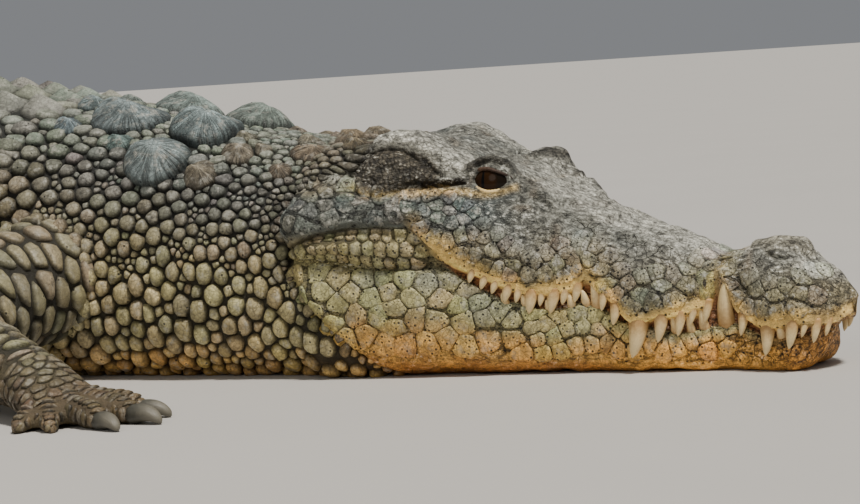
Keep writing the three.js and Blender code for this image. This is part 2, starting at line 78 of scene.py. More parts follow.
@dataclass(frozen=True)
class Curve:
    """Smooth curve through a few points that never overshoots them."""

    points: tuple[tuple[float, float], ...]

    def __call__(self, x: Array) -> Array:
        """Height of the curve at each x."""
        px, py = (np.array(column, dtype=float) for column in zip(*self.points))
        slopes = np.diff(py) / np.diff(px)
        product = slopes[:-1] * slopes[1:]
        total = np.where(np.abs(slopes[:-1] + slopes[1:]) < 1e-12, 1.0, slopes[:-1] + slopes[1:])
        inner = np.where(product <= 0.0, 0.0, 2.0 * product / total)
        tangents = np.concatenate([slopes[:1], inner, slopes[-1:]])
        x = np.clip(np.asarray(x, dtype=float), px[0], px[-1])
        i = np.clip(np.searchsorted(px, x, side="right") - 1, 0, len(px) - 2)
        width = px[i + 1] - px[i]
        t = (x - px[i]) / width
        s = 1.0 - t
        return (
            (1 + 2 * t) * s * s * py[i]
            + t * s * s * width * tangents[i]
            + t * t * (3 - 2 * t) * py[i + 1]
            - t * t * s * width * tangents[i + 1]
        )


def tint(colour: Array, other: Array, share: Array) -> Array:
    """Blend from one colour to another, with a share for each place.

    Args:
        colour: Colours by place.
        other: The other colour.
        share: How much of the other each place takes.

    Returns:
        The blended colours.
    """
    return mix(colour, other, share[..., None])


def lumps(points: Array, size: float, seed: int) -> Array:
    """Soft random relief between -1 and 1.

    Args:
        points: Places, in millimetres, with x, y, z last.
        size: Distance between neighbouring lumps.
        seed: Which random field.

    Returns:
        One value for each place.
    """
    rng = np.random.default_rng(seed)
    table = rng.uniform(-1.0, 1.0, 4096)
    p = points / size + 500.0
    cell = np.floor(p).astype(np.int64)
    t = p - cell
    t = t * t * (3.0 - 2.0 * t)
    value = np.zeros(points.shape[:-1])
    for corner in range(8):
        step = np.array([corner & 1, (corner >> 1) & 1, (corner >> 2) & 1])
        c = cell + step
        key = (c[..., 0] * 73856093 ^ c[..., 1] * 19349663 ^ c[..., 2] * 83492791) & 4095
        weight = np.prod(np.where(step == 1, t, 1.0 - t), axis=-1)
        value += table[key] * weight
    return value


def normals_of(grid: Array) -> Array:
    """Unit normals of a grid of points, from its neighbours along both ways."""
    along = np.gradient(grid, axis=0)
    around = np.gradient(grid, axis=1)
    cross = np.cross(around, along)
    return cross / np.maximum(np.linalg.norm(cross, axis=-1, keepdims=True), 1e-9)


def part_offset() -> Array:
    """Where the animal's own frame lies in the part's frame, in millimetres, read from the right eye."""
    low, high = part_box("eye_right")
    centre = 0.5 * (np.array(low) + np.array(high)) / MM
    return centre - np.array([EYE_CENTRE[0], -EYE_CENTRE[1], EYE_CENTRE[2]])


class Place:
    """Turns the animal's own millimetres into the part's metres."""

    offset: Array = np.zeros(3)

    @classmethod
    def metres(cls, points: Array) -> Array:
        """Points in the part's frame."""
        return (np.asarray(points, dtype=float) + cls.offset) * MM


# ---------------------------------------------------------------- meshes
def linked(name: str, data: bpy.types.ID) -> bpy.types.Object:
    """A new object in the scene."""
    obj = bpy.data.objects.new(name, data)
    bpy.context.scene.collection.objects.link(obj)
    return obj


def mesh_of(name: str, bm: bmesh.types.BMesh) -> bpy.types.Mesh:
    """The mesh of a bmesh, which is freed."""
    mesh = bpy.data.meshes.new(name)
    bm.to_mesh(mesh)
    bm.free()
    return mesh


def append(bm: bmesh.types.BMesh, piece: bmesh.types.BMesh) -> None:
    """Adds one bmesh to another and frees it."""
    mesh = mesh_of("part", piece)
    bm.from_mesh(mesh)
    bpy.data.meshes.remove(mesh)


def even_out(bm: bmesh.types.BMesh, verts: Sequence[bmesh.types.BMVert], rounds: int) -> None:
    """Smooths points of a bmesh."""
    for _ in range(rounds):
        bmesh.ops.smooth_vert(bm, verts=verts, factor=0.5, use_axis_x=True, use_axis_y=True, use_axis_z=True)


def cap_faces(sides: int, rings: int) -> list[tuple[int, ...]]:
    """Faces over rings of points that run to one last point."""
    wall = [
        (r * sides + i, r * sides + (i + 1) % sides, (r + 1) * sides + (i + 1) % sides, (r + 1) * sides + i)
        for r in range(rings - 1)
        for i in range(sides)
    ]
    last = (rings - 1) * sides
    return wall + [(last + i, last + (i + 1) % sides, last + sides) for i in range(sides)]


def joined_mesh(name: str, points: Array, faces: Sequence[tuple[int, ...]]) -> bpy.types.Object:
    """One object that joins many copies of a template.

    Args:
        name: The object's name.
        points: Millimetres, as copies by points by 3.
        faces: The template's faces.

    Returns:
        The object, linked to the scene.
    """
    copies, count = points.shape[:2]
    corners = np.array([i for face in faces for i in face], dtype=np.int64)
    totals = np.array([len(face) for face in faces], dtype=np.int64)
    loops = (corners[None, :] + (np.arange(copies) * count)[:, None]).ravel()
    totals_all = np.tile(totals, copies)
    starts = np.concatenate([[0], np.cumsum(totals_all)[:-1]])
    mesh = bpy.data.meshes.new(name)
    mesh.vertices.add(copies * count)
    mesh.vertices.foreach_set("co", Place.metres(points.reshape(-1, 3)).astype(np.float32).ravel())
    mesh.loops.add(len(loops))
    mesh.loops.foreach_set("vertex_index", loops.astype(np.int32))
    mesh.polygons.add(len(totals_all))
    mesh.polygons.foreach_set("loop_start", starts.astype(np.int32))
    mesh.update(calc_edges=True)
    mesh.validate()
    mesh.polygons.foreach_set("use_smooth", np.ones(len(mesh.polygons), dtype=bool))
    return linked(name, mesh)


def grid_bmesh(points: Array, caps: bool) -> bmesh.types.BMesh:
    """Surface through rings of points.

    Args:
        points: Millimetres, as rings by points by 3.
        caps: Whether the open ends are filled.

    Returns:
        A bmesh in the part's metres.
    """
    points = np.concatenate([points, points[:, :1]], axis=1)
    rows, columns = points.shape[:2]
    bm = bmesh.new()
    bmesh.ops.create_grid(bm, x_segments=columns - 1, y_segments=rows - 1, size=1.0)
    for vert, co in zip(bm.verts, Place.metres(points.reshape(-1, 3)).tolist()):
        vert.co = co
    bm.verts.ensure_lookup_table()
    edge = [bm.verts[r * columns + c] for r in range(rows) for c in (0, columns - 1)]
    bmesh.ops.remove_doubles(bm, verts=edge, dist=1e-6)
    if caps:
        bmesh.ops.holes_fill(bm, edges=[e for e in bm.edges if e.is_boundary], sides=0)
    return bm


def object_of(name: str, bm: bmesh.types.BMesh) -> bpy.types.Object:
    """Smooth object of a bmesh with its faces turned outward."""
    bmesh.ops.recalc_face_normals(bm, faces=bm.faces)
    mesh = mesh_of(name, bm)
    mesh.polygons.foreach_set("use_smooth", np.ones(len(mesh.polygons), dtype=bool))
    return linked(name, mesh)


def tube_rings(path: Array, wide: Array, high: Array, sides: int, up: Array | None = None) -> Array:
    """Rings of a tube along a path.

    Args:
        path: Middle points.
        wide: Half-width at each point, across the path.
        high: Half-height at each point.
        sides: Points in a ring.
        up: Direction that the rings' height leans to; straight up where none is given.

    Returns:
        Points as rings by sides by 3.
    """
    lean = np.array([0.0, 0.0, 1.0]) if up is None else up
    tangent = np.gradient(path, axis=0)
    tangent /= np.linalg.norm(tangent, axis=1, keepdims=True)
    across = np.cross(np.broadcast_to(lean, path.shape), tangent)
    across /= np.maximum(np.linalg.norm(across, axis=1, keepdims=True), 1e-9)
    rise = np.cross(tangent, across)
    angle = np.linspace(0.0, 2.0 * np.pi, sides, endpoint=False)
    return (
        path[:, None]
        + across[:, None] * (np.cos(angle)[None, :, None] * wide[:, None, None])
        + rise[:, None] * (np.sin(angle)[None, :, None] * high[:, None, None])
    )


def set_point_colours(obj: bpy.types.Object, name: str, colours: Array) -> None:
    """Stores a colour with alpha on each point of a mesh."""
    layer = obj.data.attributes.new(name, "FLOAT_COLOR", "POINT")
    layer.data.foreach_set("color", colours.astype(np.float32).ravel())


def set_uv(obj: bpy.types.Object, name: str, uv: Array) -> None:
    """Stores a UV map given by the mesh's points."""
    layer = obj.data.uv_layers.new(name=name)
    index = np.empty(len(obj.data.loops), dtype=np.int32)
    obj.data.loops.foreach_get("vertex_index", index)
    layer.data.foreach_set("uv", uv[index].astype(np.float32).ravel())


# ---------------------------------------------------------------- the animal's shape
class Spine:
    """The middle line of neck, trunk and tail in plan: straight to the hips, then a slow curve."""

    step = 10.0
    bend = math.radians(32.0)
    bend_start = 1080.0

    def __init__(self) -> None:
        """Walks the line once and keeps its points."""
        self.s = np.arange(0.0, TAIL_TIP + 2 * self.step, self.step)
        along = np.maximum(0.0, (self.s - self.bend_start) / (TAIL_TIP - self.bend_start))
        self.heading = self.bend * np.sin(1.35 * np.pi * along)
        self.x = -np.concatenate([[0.0], np.cumsum(self.step * np.cos(self.heading))[:-1]])
        self.y = -np.concatenate([[0.0], np.cumsum(self.step * np.sin(self.heading))[:-1]])

    def place(self, s: Array, side: Array, z: Array) -> Array:
        """Points at side distances and heights from the line; ahead of it, s is negative."""
        h = np.interp(s, self.s, self.heading)
        x = np.where(s < 0.0, -s, np.interp(s, self.s, self.x))
        y = np.interp(s, self.s, self.y)
        return np.stack([x - side * np.sin(h), y + side * np.cos(h), z + 0.0 * side], axis=-1)


@dataclass
class BodyShape:
    """Neck, trunk and tail by distance behind the skull table."""

    top: Curve = Curve(
        ((100, 234), (150, 241), (204, 250), (306, 269), (400, 286), (470, 299), (530, 310), (620, 321),
         (750, 332), (900, 327), (1050, 307), (1240, 262), (1500, 206), (1800, 168), (2150, 134), (2450, 96),
         (2700, 52), (TAIL_TIP, 12))
    )
    half_width: Curve = Curve(
        ((100, 139), (220, 156), (300, 162), (450, 190), (600, 218), (750, 232), (900, 226), (1050, 196),
         (1240, 146), (1500, 100), (1800, 74), (2100, 54), (2400, 36), (2650, 21), (TAIL_TIP, 5))
    )
    waist: Curve = Curve(((100, 0.5), (400, 0.42), (750, 0.4), (1240, 0.44), (1800, 0.42), (TAIL_TIP, 0.5)))
    round_top: Curve = Curve(((100, 2.4), (750, 2.25), (1240, 2.1), (1700, 2.5), (TAIL_TIP, 2)))
    round_belly: Curve = Curve(((100, 3.4), (400, 3.4), (750, 3.2), (1240, 2.6), (1700, 2.8), (TAIL_TIP, 2)))
    spine: Spine = field(default_factory=Spine)

    def ring(self, s: Array, count: int, inset: Array) -> Array:
        """Rings evenly spaced around, from the belly's middle over the right side and the back.

        Args:
            s: Distances behind the skull table.
            count: Points in a ring.
            inset: How far each ring lies inside the outline.

        Returns:
            Side distances and heights, as rings by points by 2.
        """
        angle = np.linspace(-0.5 * np.pi, 1.5 * np.pi, 481)[None, :]
        s = s[:, None]
        top = self.top(s) - inset[:, None]
        waist = self.top(s) * self.waist(s)
        upper = np.sin(angle) >= 0.0
        power = 2.0 / np.where(upper, self.round_top(s), self.round_belly(s))
        side = -(self.half_width(s) - inset[:, None]) * np.sign(np.cos(angle)) * np.abs(np.cos(angle)) ** power
        rise = np.abs(np.sin(angle)) ** power
        z = np.where(upper, waist + (top - waist) * rise, np.maximum(0.4 * inset[:, None], waist * (1 - 1.04 * rise)))
        return self.even(np.stack([side, z], axis=-1), count)

    @staticmethod
    def even(rings: Array, count: int) -> Array:
        """Resamples closed rings, whose last point repeats the first, at equal distances around."""
        length = np.concatenate(
            [np.zeros((len(rings), 1)), np.cumsum(np.linalg.norm(np.diff(rings, axis=1), axis=-1), axis=1)], axis=1
        )
        share = np.linspace(0.0, 1.0, count, endpoint=False)
        out = np.empty((len(rings), count, 2))
        for i, (ring, along) in enumerate(zip(rings, length)):
            for axis in (0, 1):
                out[i, :, axis] = np.interp(share * along[-1], along, ring[:, axis])
        return out

    def grid(self, s: Array, count: int, inset: Array) -> Array:
        """Points of the body's surface."""
        ring = self.ring(s, count, inset)
        return self.spine.place(s[:, None] + 0.0 * ring[..., 0], ring[..., 0], ring[..., 1])


@dataclass
class HeadShape:
    """Upper head and lower jaw by distance ahead of the skull table, as lines that run along them."""

    lip_width: Curve = Curve(
        ((-100, 139), (-60, 138), (20, 124), (80, 108), (140, 88), (200, 73), (265, 66), (310, 54), (345, 43),
         (380, 47), (408, 50), (422, 46), (434, 37), (443, 25), (450, 12), (453, 4))
    )
    lip_height: Curve = Curve(
        ((-100, 129), (-76, 140), (-50, 147), (-11, 151), (30, 150), (49, 142), (62, 127), (86, 108), (112, 94),
         (137, 83), (155, 78), (178, 79), (195, 82), (207, 91), (216, 82), (230, 71), (242, 57), (254, 48),
         (264, 48), (276, 53), (300, 54), (312, 59), (322, 62), (331, 84), (336, 90), (341, 80), (350, 55),
         (362, 48), (370, 43), (380, 40), (394, 41), (410, 45), (430, 43.6), (443, 43), (453, 51))
    )
    cheek_width: Curve = Curve(
        ((-100, 141), (-20, 134), (15, 128), (50, 119), (80, 110), (114, 99), (150, 88), (200, 75), (265, 68),
         (310, 56), (345, 44), (380, 49), (408, 52), (422, 48), (434, 39), (443, 27), (450, 14), (453, 6))
    )
    cheek_height: Curve = Curve(
        ((-100, 160), (-20, 170), (15, 170), (50, 162), (80, 144), (114, 124), (150, 110), (200, 106), (265, 78),
         (310, 80), (336, 98), (352, 80), (380, 66), (415, 64), (453, 62))
    )
    temple_width: Curve = Curve(
        ((-100, 128), (-60, 116), (-20, 103), (15, 96), (50, 90), (80, 85), (114, 81), (150, 76), (200, 64),
         (265, 55), (310, 46), (345, 38), (380, 41), (408, 42), (422, 37), (434, 29), (443, 20), (450, 10),
         (453, 4))
    )
    temple_height: Curve = Curve(
        ((-100, 192), (15, 192), (50, 190), (114, 186), (150, 160), (200, 130), (265, 103), (310, 94),
         (336, 99), (352, 94), (380, 92), (410, 88), (430, 78), (443, 70), (453, 65))
    )
    crest_width: Curve = Curve(
        ((-100, 86), (-20, 79), (15, 76), (50, 71), (102, 66), (150, 61), (200, 48), (265, 37), (310, 32),
         (345, 28), (380, 28), (408, 25), (422, 21), (434, 16), (443, 10), (450, 5), (453, 2))
    )
    crest_height: Curve = Curve(
        ((-100, 226), (-45, 222), (-25, 227), (-10, 238), (15, 245), (46, 232), (68, 218), (84, 211), (102, 216),
         (119, 212), (135, 199), (150, 183), (175, 163), (200, 150), (228, 139), (265, 126), (290, 117),
         (310, 108), (325, 106), (348, 110), (358, 115), (375, 120), (397, 118), (409, 110),
         (418, 99), (430, 87), (443, 75), (453, 67))
    )
    mid_height: Curve = Curve(
        ((-100, 234), (-60, 235), (28, 234), (60, 224), (85, 212), (114, 201), (150, 183), (200, 161), (232, 147),
         (280, 130), (304, 122), (328, 111), (348, 113), (358, 118), (375, 122), (397, 122), (409, 117),
         (418, 106), (430, 96), (443, 80), (453, 68))
    )
    jaw_width: Curve = Curve(
        ((-100, 138), (20, 121), (80, 105), (140, 85), (200, 70), (265, 60), (310, 49), (345, 41), (385, 43),
         (405, 44), (420, 38), (432, 27), (440, 14), (445, 5), (453, 3))
    )
    jaw_height: Curve = Curve(
        ((-100, 127), (-28, 118), (33, 110), (67, 111), (86, 100), (104, 88), (120, 79), (128, 74), (141, 73),
         (155, 66), (185, 65), (199, 70), (218, 66), (239, 51), (260, 46), (285, 41), (301, 39), (321, 43),
         (347, 46), (367, 38), (385, 33), (406, 33), (425, 38), (436, 43), (446, 49), (453, 53))
    )
    chin: Curve = Curve(((404, 0), (422, 7), (434, 17), (443, 28), (448, 38), (453, 52)))
    mouth_depth: Curve = Curve(
        ((-100, 0.5), (-70, -2), (-20, -5), (20, -4), (50, 2), (72, 5), (110, 7), (430, 7), (453, 1))
    )
    row_samples: tuple[int, ...] = (4, 6, 11, 7, 3, 4, 4, 3, 4, 11, 24, 15, 12, 8, 6)

    def rows(self, x: Array) -> Array:
        """The lines that shape the right half, from the chin's middle to the crown's, as x by lines by 2.

        Args:
            x: Distances ahead of the skull table.

        Returns:
            Side distances and heights.
        """
        lip, margin, chin = self.lip_height(x), self.jaw_height(x), np.where(x < 404, 0.0, self.chin(x))
        margin = np.minimum(margin, lip - 1.0)
        jaw, upper = self.jaw_width(x), self.lip_width(x)
        rise = np.maximum(margin - chin, 0.5)
        inner = np.maximum(0.35 * upper, upper - self.mouth_depth(x))
        cw, ch, tw, th = self.cheek_width(x), self.cheek_height(x), self.temple_width(x), self.temple_height(x)
        kw, kh, mid = self.crest_width(x), self.crest_height(x), self.mid_height(x)
        lines = [
            (0.0 * x, chin),
            (0.64 * jaw, chin),
            (0.93 * jaw, chin + 0.13 * rise),
            (jaw + 2.0, chin + 0.6 * rise),
            (jaw + 0.5, margin - 2.0),
            (np.minimum(jaw - 2.5, inner + 8.0), margin),
            (inner, 0.5 * (lip + margin)),
            (np.minimum(upper - 2.5, inner + 9.0), lip + 0.5),
            (upper + 0.5, lip + 1.5),
            (upper + 1.5, lip + np.minimum(9.0, 0.45 * (ch - lip))),
            (cw, ch),
            (tw, th),
            (0.45 * tw + 0.55 * kw, 0.36 * th + 0.64 * kh),
            (kw, kh),
            (0.55 * kw, 0.25 * kh + 0.75 * mid),
            (0.0 * x, mid),
        ]
        return np.stack([np.stack(line, axis=-1) for line in lines], axis=1)

    def half_rings(self, x: Array) -> tuple[Array, Array]:
        """Right half of each ring with a spline through its lines.

        Args:
            x: Distances ahead of the skull table.

        Returns:
            Points as x by samples by 2, and each sample's place among the lines.
        """
        lines = self.rows(x)
        mirrored = np.array([-1.0, 1.0])
        padded = np.concatenate([lines[:, 1:2] * mirrored, lines, lines[:, -2:-1] * mirrored], axis=1)
        q = np.concatenate([k + np.arange(n) / n for k, n in enumerate(self.row_samples)] + [[len(self.row_samples)]])
        k = np.minimum(q.astype(int), len(self.row_samples) - 1)
        t = (q - k)[None, :, None]
        p0, p1, p2, p3 = (padded[:, k + i] for i in range(4))
        reach = np.linalg.norm(p2 - p1, axis=-1, keepdims=True)
        back = np.linalg.norm(p1 - p0, axis=-1, keepdims=True) + 1e-6
        front = np.linalg.norm(p3 - p2, axis=-1, keepdims=True) + 1e-6
        m1 = 0.5 * (p2 - p0) * np.minimum(1.0, 2.0 * np.minimum(reach, back) / (reach + back)) * 0.9
        m2 = 0.5 * (p3 - p1) * np.minimum(1.0, 2.0 * np.minimum(reach, front) / (reach + front)) * 0.9
        point = (
            (2 * t**3 - 3 * t**2 + 1) * p1
            + (t**3 - 2 * t**2 + t) * m1
            + (-2 * t**3 + 3 * t**2) * p2
            + (t**3 - t**2) * m2
        )
        return point, q

    def grid(self, x: Array) -> tuple[Array, Array]:
        """Whole rings, from the chin's middle over the right side and the crown, and their places among the lines."""
        half, q = self.half_rings(x)
        ring = np.concatenate([half, half[:, -2:0:-1] * np.array([-1.0, 1.0])], axis=1)
        place = np.concatenate([q, q[-2:0:-1]])
        xs = np.broadcast_to(x[:, None], ring.shape[:2])
        return np.stack([xs, -ring[..., 0], ring[..., 1]], axis=-1), place


# ---------------------------------------------------------------- skin
@dataclass
class LegShape:
    """One leg: the line through its joints, the foot and the toes."""

    name: str
    side: float
    joints: tuple[tuple[float, float, float], ...]
    radii: Curve
    heading: float
    digits: tuple[tuple[float, float, float], ...]
    palm: tuple[float, float, float]
    clawed: int = 3

    def path(self, count: int) -> Array:
        """Points along a centripetal spline through the joints, evenly by share of each span."""
        points = np.array([(x, self.side * y, z) for x, y, z in self.joints])
        first, last = 2 * points[0] - points[1], 2 * points[-1] - points[-2]
        p = np.vstack([first, points, last])
        u = np.linspace(0.0, len(points) - 1 - 1e-9, count)
        i = u.astype(int)
        w = (u - i)[:, None]
        p0, p1, p2, p3 = (p[i + k] for k in range(4))
        d = [np.sqrt(np.linalg.norm(b - a, axis=1, keepdims=True)) for a, b in ((p0, p1), (p1, p2), (p2, p3))]
        t1 = (p1 - p0) / d[0] - (p2 - p0) / (d[0] + d[1]) + (p2 - p1) / d[1]
        t2 = (p2 - p1) / d[1] - (p3 - p1) / (d[1] + d[2]) + (p3 - p2) / d[2]
        t1, t2 = t1 * d[1], t2 * d[1]
        return (
            p1 + t1 * w + (3 * (p2 - p1) - 2 * t1 - t2) * w**2 + (2 * (p1 - p2) + t1 + t2) * w**3
        )

    def floor_direction(self, degrees: float) -> Array:
        """Level direction, turned outward by negative degrees."""
        return np.array([math.cos(math.radians(degrees)), self.side * math.sin(math.radians(-degrees)), 0.0])

    def limb(self, count: int, sides: int, inset: float) -> Array:
        """Rings of the leg from the body to the wrist or ankle."""
        path = self.path(count)
        radius = self.radii(np.linspace(0.0, 1.0, count)) - inset
        share = np.linspace(0.0, 1.0, count)
        return tube_rings(path, radius, radius * (1.04 - 0.12 * share), sides)

    @property
    def ahead(self) -> Array:
        """Direction of the foot."""
        return self.floor_direction(self.heading)

    def knuckles(self) -> Array:
        """Middle of the foot's front edge."""
        length, _, height = self.palm
        return self.path(2)[-1] * np.array([1, 1, 0]) + self.ahead * length + np.array([0, 0, 0.72 * height])

    def palm_rings(self, count: int, sides: int, inset: float) -> Array:
        """Rings of the foot's flat part."""
        length, width, height = self.palm
        wrist, end, ahead = self.path(2)[-1], self.knuckles(), self.ahead
        start = wrist - 4 * ahead
        bend = wrist * np.array([1, 1, 0]) + 0.4 * length * ahead + np.array([0, 0, 0.5 * (wrist[2] + height)])
        u = np.linspace(0.0, 1.0, count)[:, None]
        path = (1 - u) ** 2 * start + 2 * u * (1 - u) * bend + u**2 * end
        r = self.radii(1.0)
        wide = mix(r, width, u[:, 0] ** 0.7) - inset
        high = mix(0.92 * r, 0.8 * height, u[:, 0]) - inset
        return tube_rings(path, wide, high, sides)

    def digit_path(self, i: int, count: int) -> tuple[Array, Array, float]:
        """Middle line of a toe, its direction and its thickness."""
        angle, length, thick = self.digits[i]
        direction = self.floor_direction(self.heading + angle)
        share = i / (len(self.digits) - 1) - 0.5
        ahead = self.ahead
        across = np.array([-ahead[1], ahead[0], 0.0]) * self.side * share * 1.25 * self.palm[1]
        base = (self.knuckles() - 14 * ahead + across) * np.array([1, 1, 0])
        start = base + np.array([0, 0, 0.9 * thick])
        end = base + direction * (length - 26) + np.array([0, 0, 0.62 * thick])
        middle = 0.5 * (start + end) + np.array([0, 0, 4.0])
        u = np.linspace(0.0, 1.0, count)[:, None]
        path = (1 - u) ** 2 * start + 2 * u * (1 - u) * (2 * middle - 0.5 * (start + end)) + u**2 * end
        return path, direction, thick

    def digit_rings(self, i: int, count: int, sides: int, inset: float) -> Array:
        """Rings of a toe with slightly swollen joints."""
        path, _, thick = self.digit_path(i, count)
        u = np.linspace(0.0, 1.0, count)
        swell = 1.0 + 0.06 * np.cos(2 * np.pi * 3 * u)
        tip = np.sqrt(1.0 - 0.9 * np.clip((u - 0.84) / 0.16, 0.0, 1.0) ** 2)
        wide = (thick * (1 - 0.3 * u) * swell - inset) * tip
        high = (thick * (0.95 - 0.3 * u) * swell - inset) * tip
        return tube_rings(path, wide, high, sides)


FRONT_RADII = Curve(((0, 62), (0.3, 58), (0.55, 45), (0.8, 34), (1, 29)))
HIND_RADII = Curve(((0, 86), (0.3, 76), (0.52, 58), (0.8, 38), (1, 33)))
HIND_DIGITS = ((24.0, 110.0, 12.0), (4.0, 132.0, 13.0), (-16.0, 138.0, 12.0), (-36.0, 118.0, 11.0))
LEGS = (
    LegShape("front_right", -1.0,
             ((-375, 120, 118), (-398, 250, 92), (-376, 330, 66), (-278, 374, 50), (-218, 394, 38)),
             FRONT_RADII, -15.0,
             ((24, 96, 12), (9, 114, 13), (-8, 112, 12), (-34, 94, 9), (-62, 76, 8)), (52, 40, 17)),
    LegShape("front_left", 1.0,
             ((-375, 120, 118), (-440, 250, 88), (-446, 322, 62), (-360, 366, 48), (-302, 382, 38)),
             FRONT_RADII, -20.0,
             ((28, 92, 12), (11, 112, 13), (-8, 112, 12), (-32, 94, 9), (-56, 76, 8)), (52, 40, 17)),
    LegShape("hind_right", -1.0,
             ((-1120, 90, 128), (-1040, 226, 100), (-1032, 296, 78), (-1120, 336, 52), (-1176, 352, 40)),
             HIND_RADII, -40.0, HIND_DIGITS, (74, 42, 19)),
    LegShape("hind_left", 1.0,
             ((-1120, 90, 128), (-1062, 226, 98), (-1068, 300, 74), (-1160, 332, 50), (-1214, 346, 40)),
             HIND_RADII, -34.0, HIND_DIGITS, (74, 42, 19)),
)
FOLD = Curve(((0, 12), (4, 4), (17, -17), (42, -44), (92, -84), (133, -98), (160, -102), (186, -98), (200, -70),
              (212, -46), (224, -34), (238, -26), (250, -20)))


def near_line(x: Array, z: Array, line: Sequence[tuple[float, float]]) -> Array:
    """Distance of places to a line of points in the head's side view.

    Args:
        x: How far ahead the places are.
        z: Their heights.
        line: The line's points.

    Returns:
        One distance for each place.
    """
    best = np.full(x.shape, 1e9)
    for (x0, z0), (x1, z1) in zip(line, line[1:]):
        dx, dz = x1 - x0, z1 - z0
        t = np.clip(((x - x0) * dx + (z - z0) * dz) / (dx * dx + dz * dz), 0.0, 1.0)
        best = np.minimum(best, np.hypot(x - x0 - t * dx, z - z0 - t * dz))
    return best


FLAP = (11.0, 206.5, 46.0, 22.0, -7.0)
NOSE = (384.0, 29.0, 25.0)
SLIT = ((43.0, 190.5), (54.0, 191.5), (66.0, 191.0), (79.0, 192.5))
RIDGE = ((-12, 234), (3, 238), (22, 236), (38, 229), (54, 219), (70, 210), (86, 204))
BROW = ((88, 206), (98, 212), (112, 213.5), (127, 209), (140, 200), (149, 189))
UNDER_LID = ((28, 184), (48, 184.5), (64, 185), (80, 184), (92, 181), (108, 178.5), (122, 180), (134, 184))
FLAP_RIM = ((-35, 193), (-27, 188), (-11, 184), (3, 182.5), (20, 185))


def in_oval(x: Array, z: Array, oval: tuple[float, float, float, float, float]) -> Array:
    """Distance from the middle of an oval in the side view, 1 on its edge."""
    cx, cz, rx, rz, turn = oval
    c, s = math.cos(math.radians(turn)), math.sin(math.radians(turn))
    u, v = (x - cx) * c + (z - cz) * s, -(x - cx) * s + (z - cz) * c
    return np.hypot(u / rx, v / rz)


def nose_disc(x: Array, y: Array) -> Array:
    """Distance from the middle of the nose disc in plan, 1 on its edge."""
    return np.hypot((x - NOSE[0]) / NOSE[1], y / NOSE[2])


def face_scale(points: Array) -> Array:
    """Width of the flat scales of face and jaw at places on the head, 0 where the skin is smooth.

    Args:
        points: Places in the head's own frame.

    Returns:
        One width for each place.
    """
    x, y, z = points[..., 0], np.abs(points[..., 1]), points[..., 2]
    shape, relief = HeadShape(), HeadRelief()
    lip, margin = shape.lip_height(x), shape.jaw_height(x)
    rise = z - lip - 2.0 * lumps(points, 16, 61)
    jaw = (z < margin - 7.0) & (z > margin * mix(0.3, 0.52, smooth(120, 260, x)))
    jaw &= (y > 0.7 * shape.jaw_width(x)) & (x < 350.0)
    jaw_size = mix(21.0, 14.5, smooth(20, 190, x)) * mix(1.0, 0.72, smooth(0.8, 1, z / margin))
    upper = (rise > 15.0 + 3.0 * smooth(60, 90, x)) & (x < 432.0)
    upper &= rise < mix(70.0, 47.0, smooth(80, 150, x)) + 7.0 * lumps(points, 30, 62)
    clear = (in_oval(x, z, FLAP) > 1.22) & (relief.almond(x, z) > 4.5) & (near_line(x, z, SLIT) > 8.0)
    clear &= (near_line(x, z, BROW) > 10.0) & ((near_line(x, z, RIDGE) > 8.0) | (z < 198.0))
    upper &= clear | (y < mix(62.0, 48.0, smooth(40, 110, x)))
    upper &= (nose_disc(x, y) > 1.3) | (z < lip + 24.0)
    upper_size = mix(mix(16.0, 13.0, smooth(30, 110, x)), 9.5, smooth(38, 70, rise))
    upper_size = mix(upper_size, 15.0, smooth(150, 210, x) * smooth(52, 30, rise))
    size = np.where(jaw, jaw_size, np.where(upper, upper_size, 0.0))
    return np.where(x - FOLD(z) > 5.0, size, 0.0)


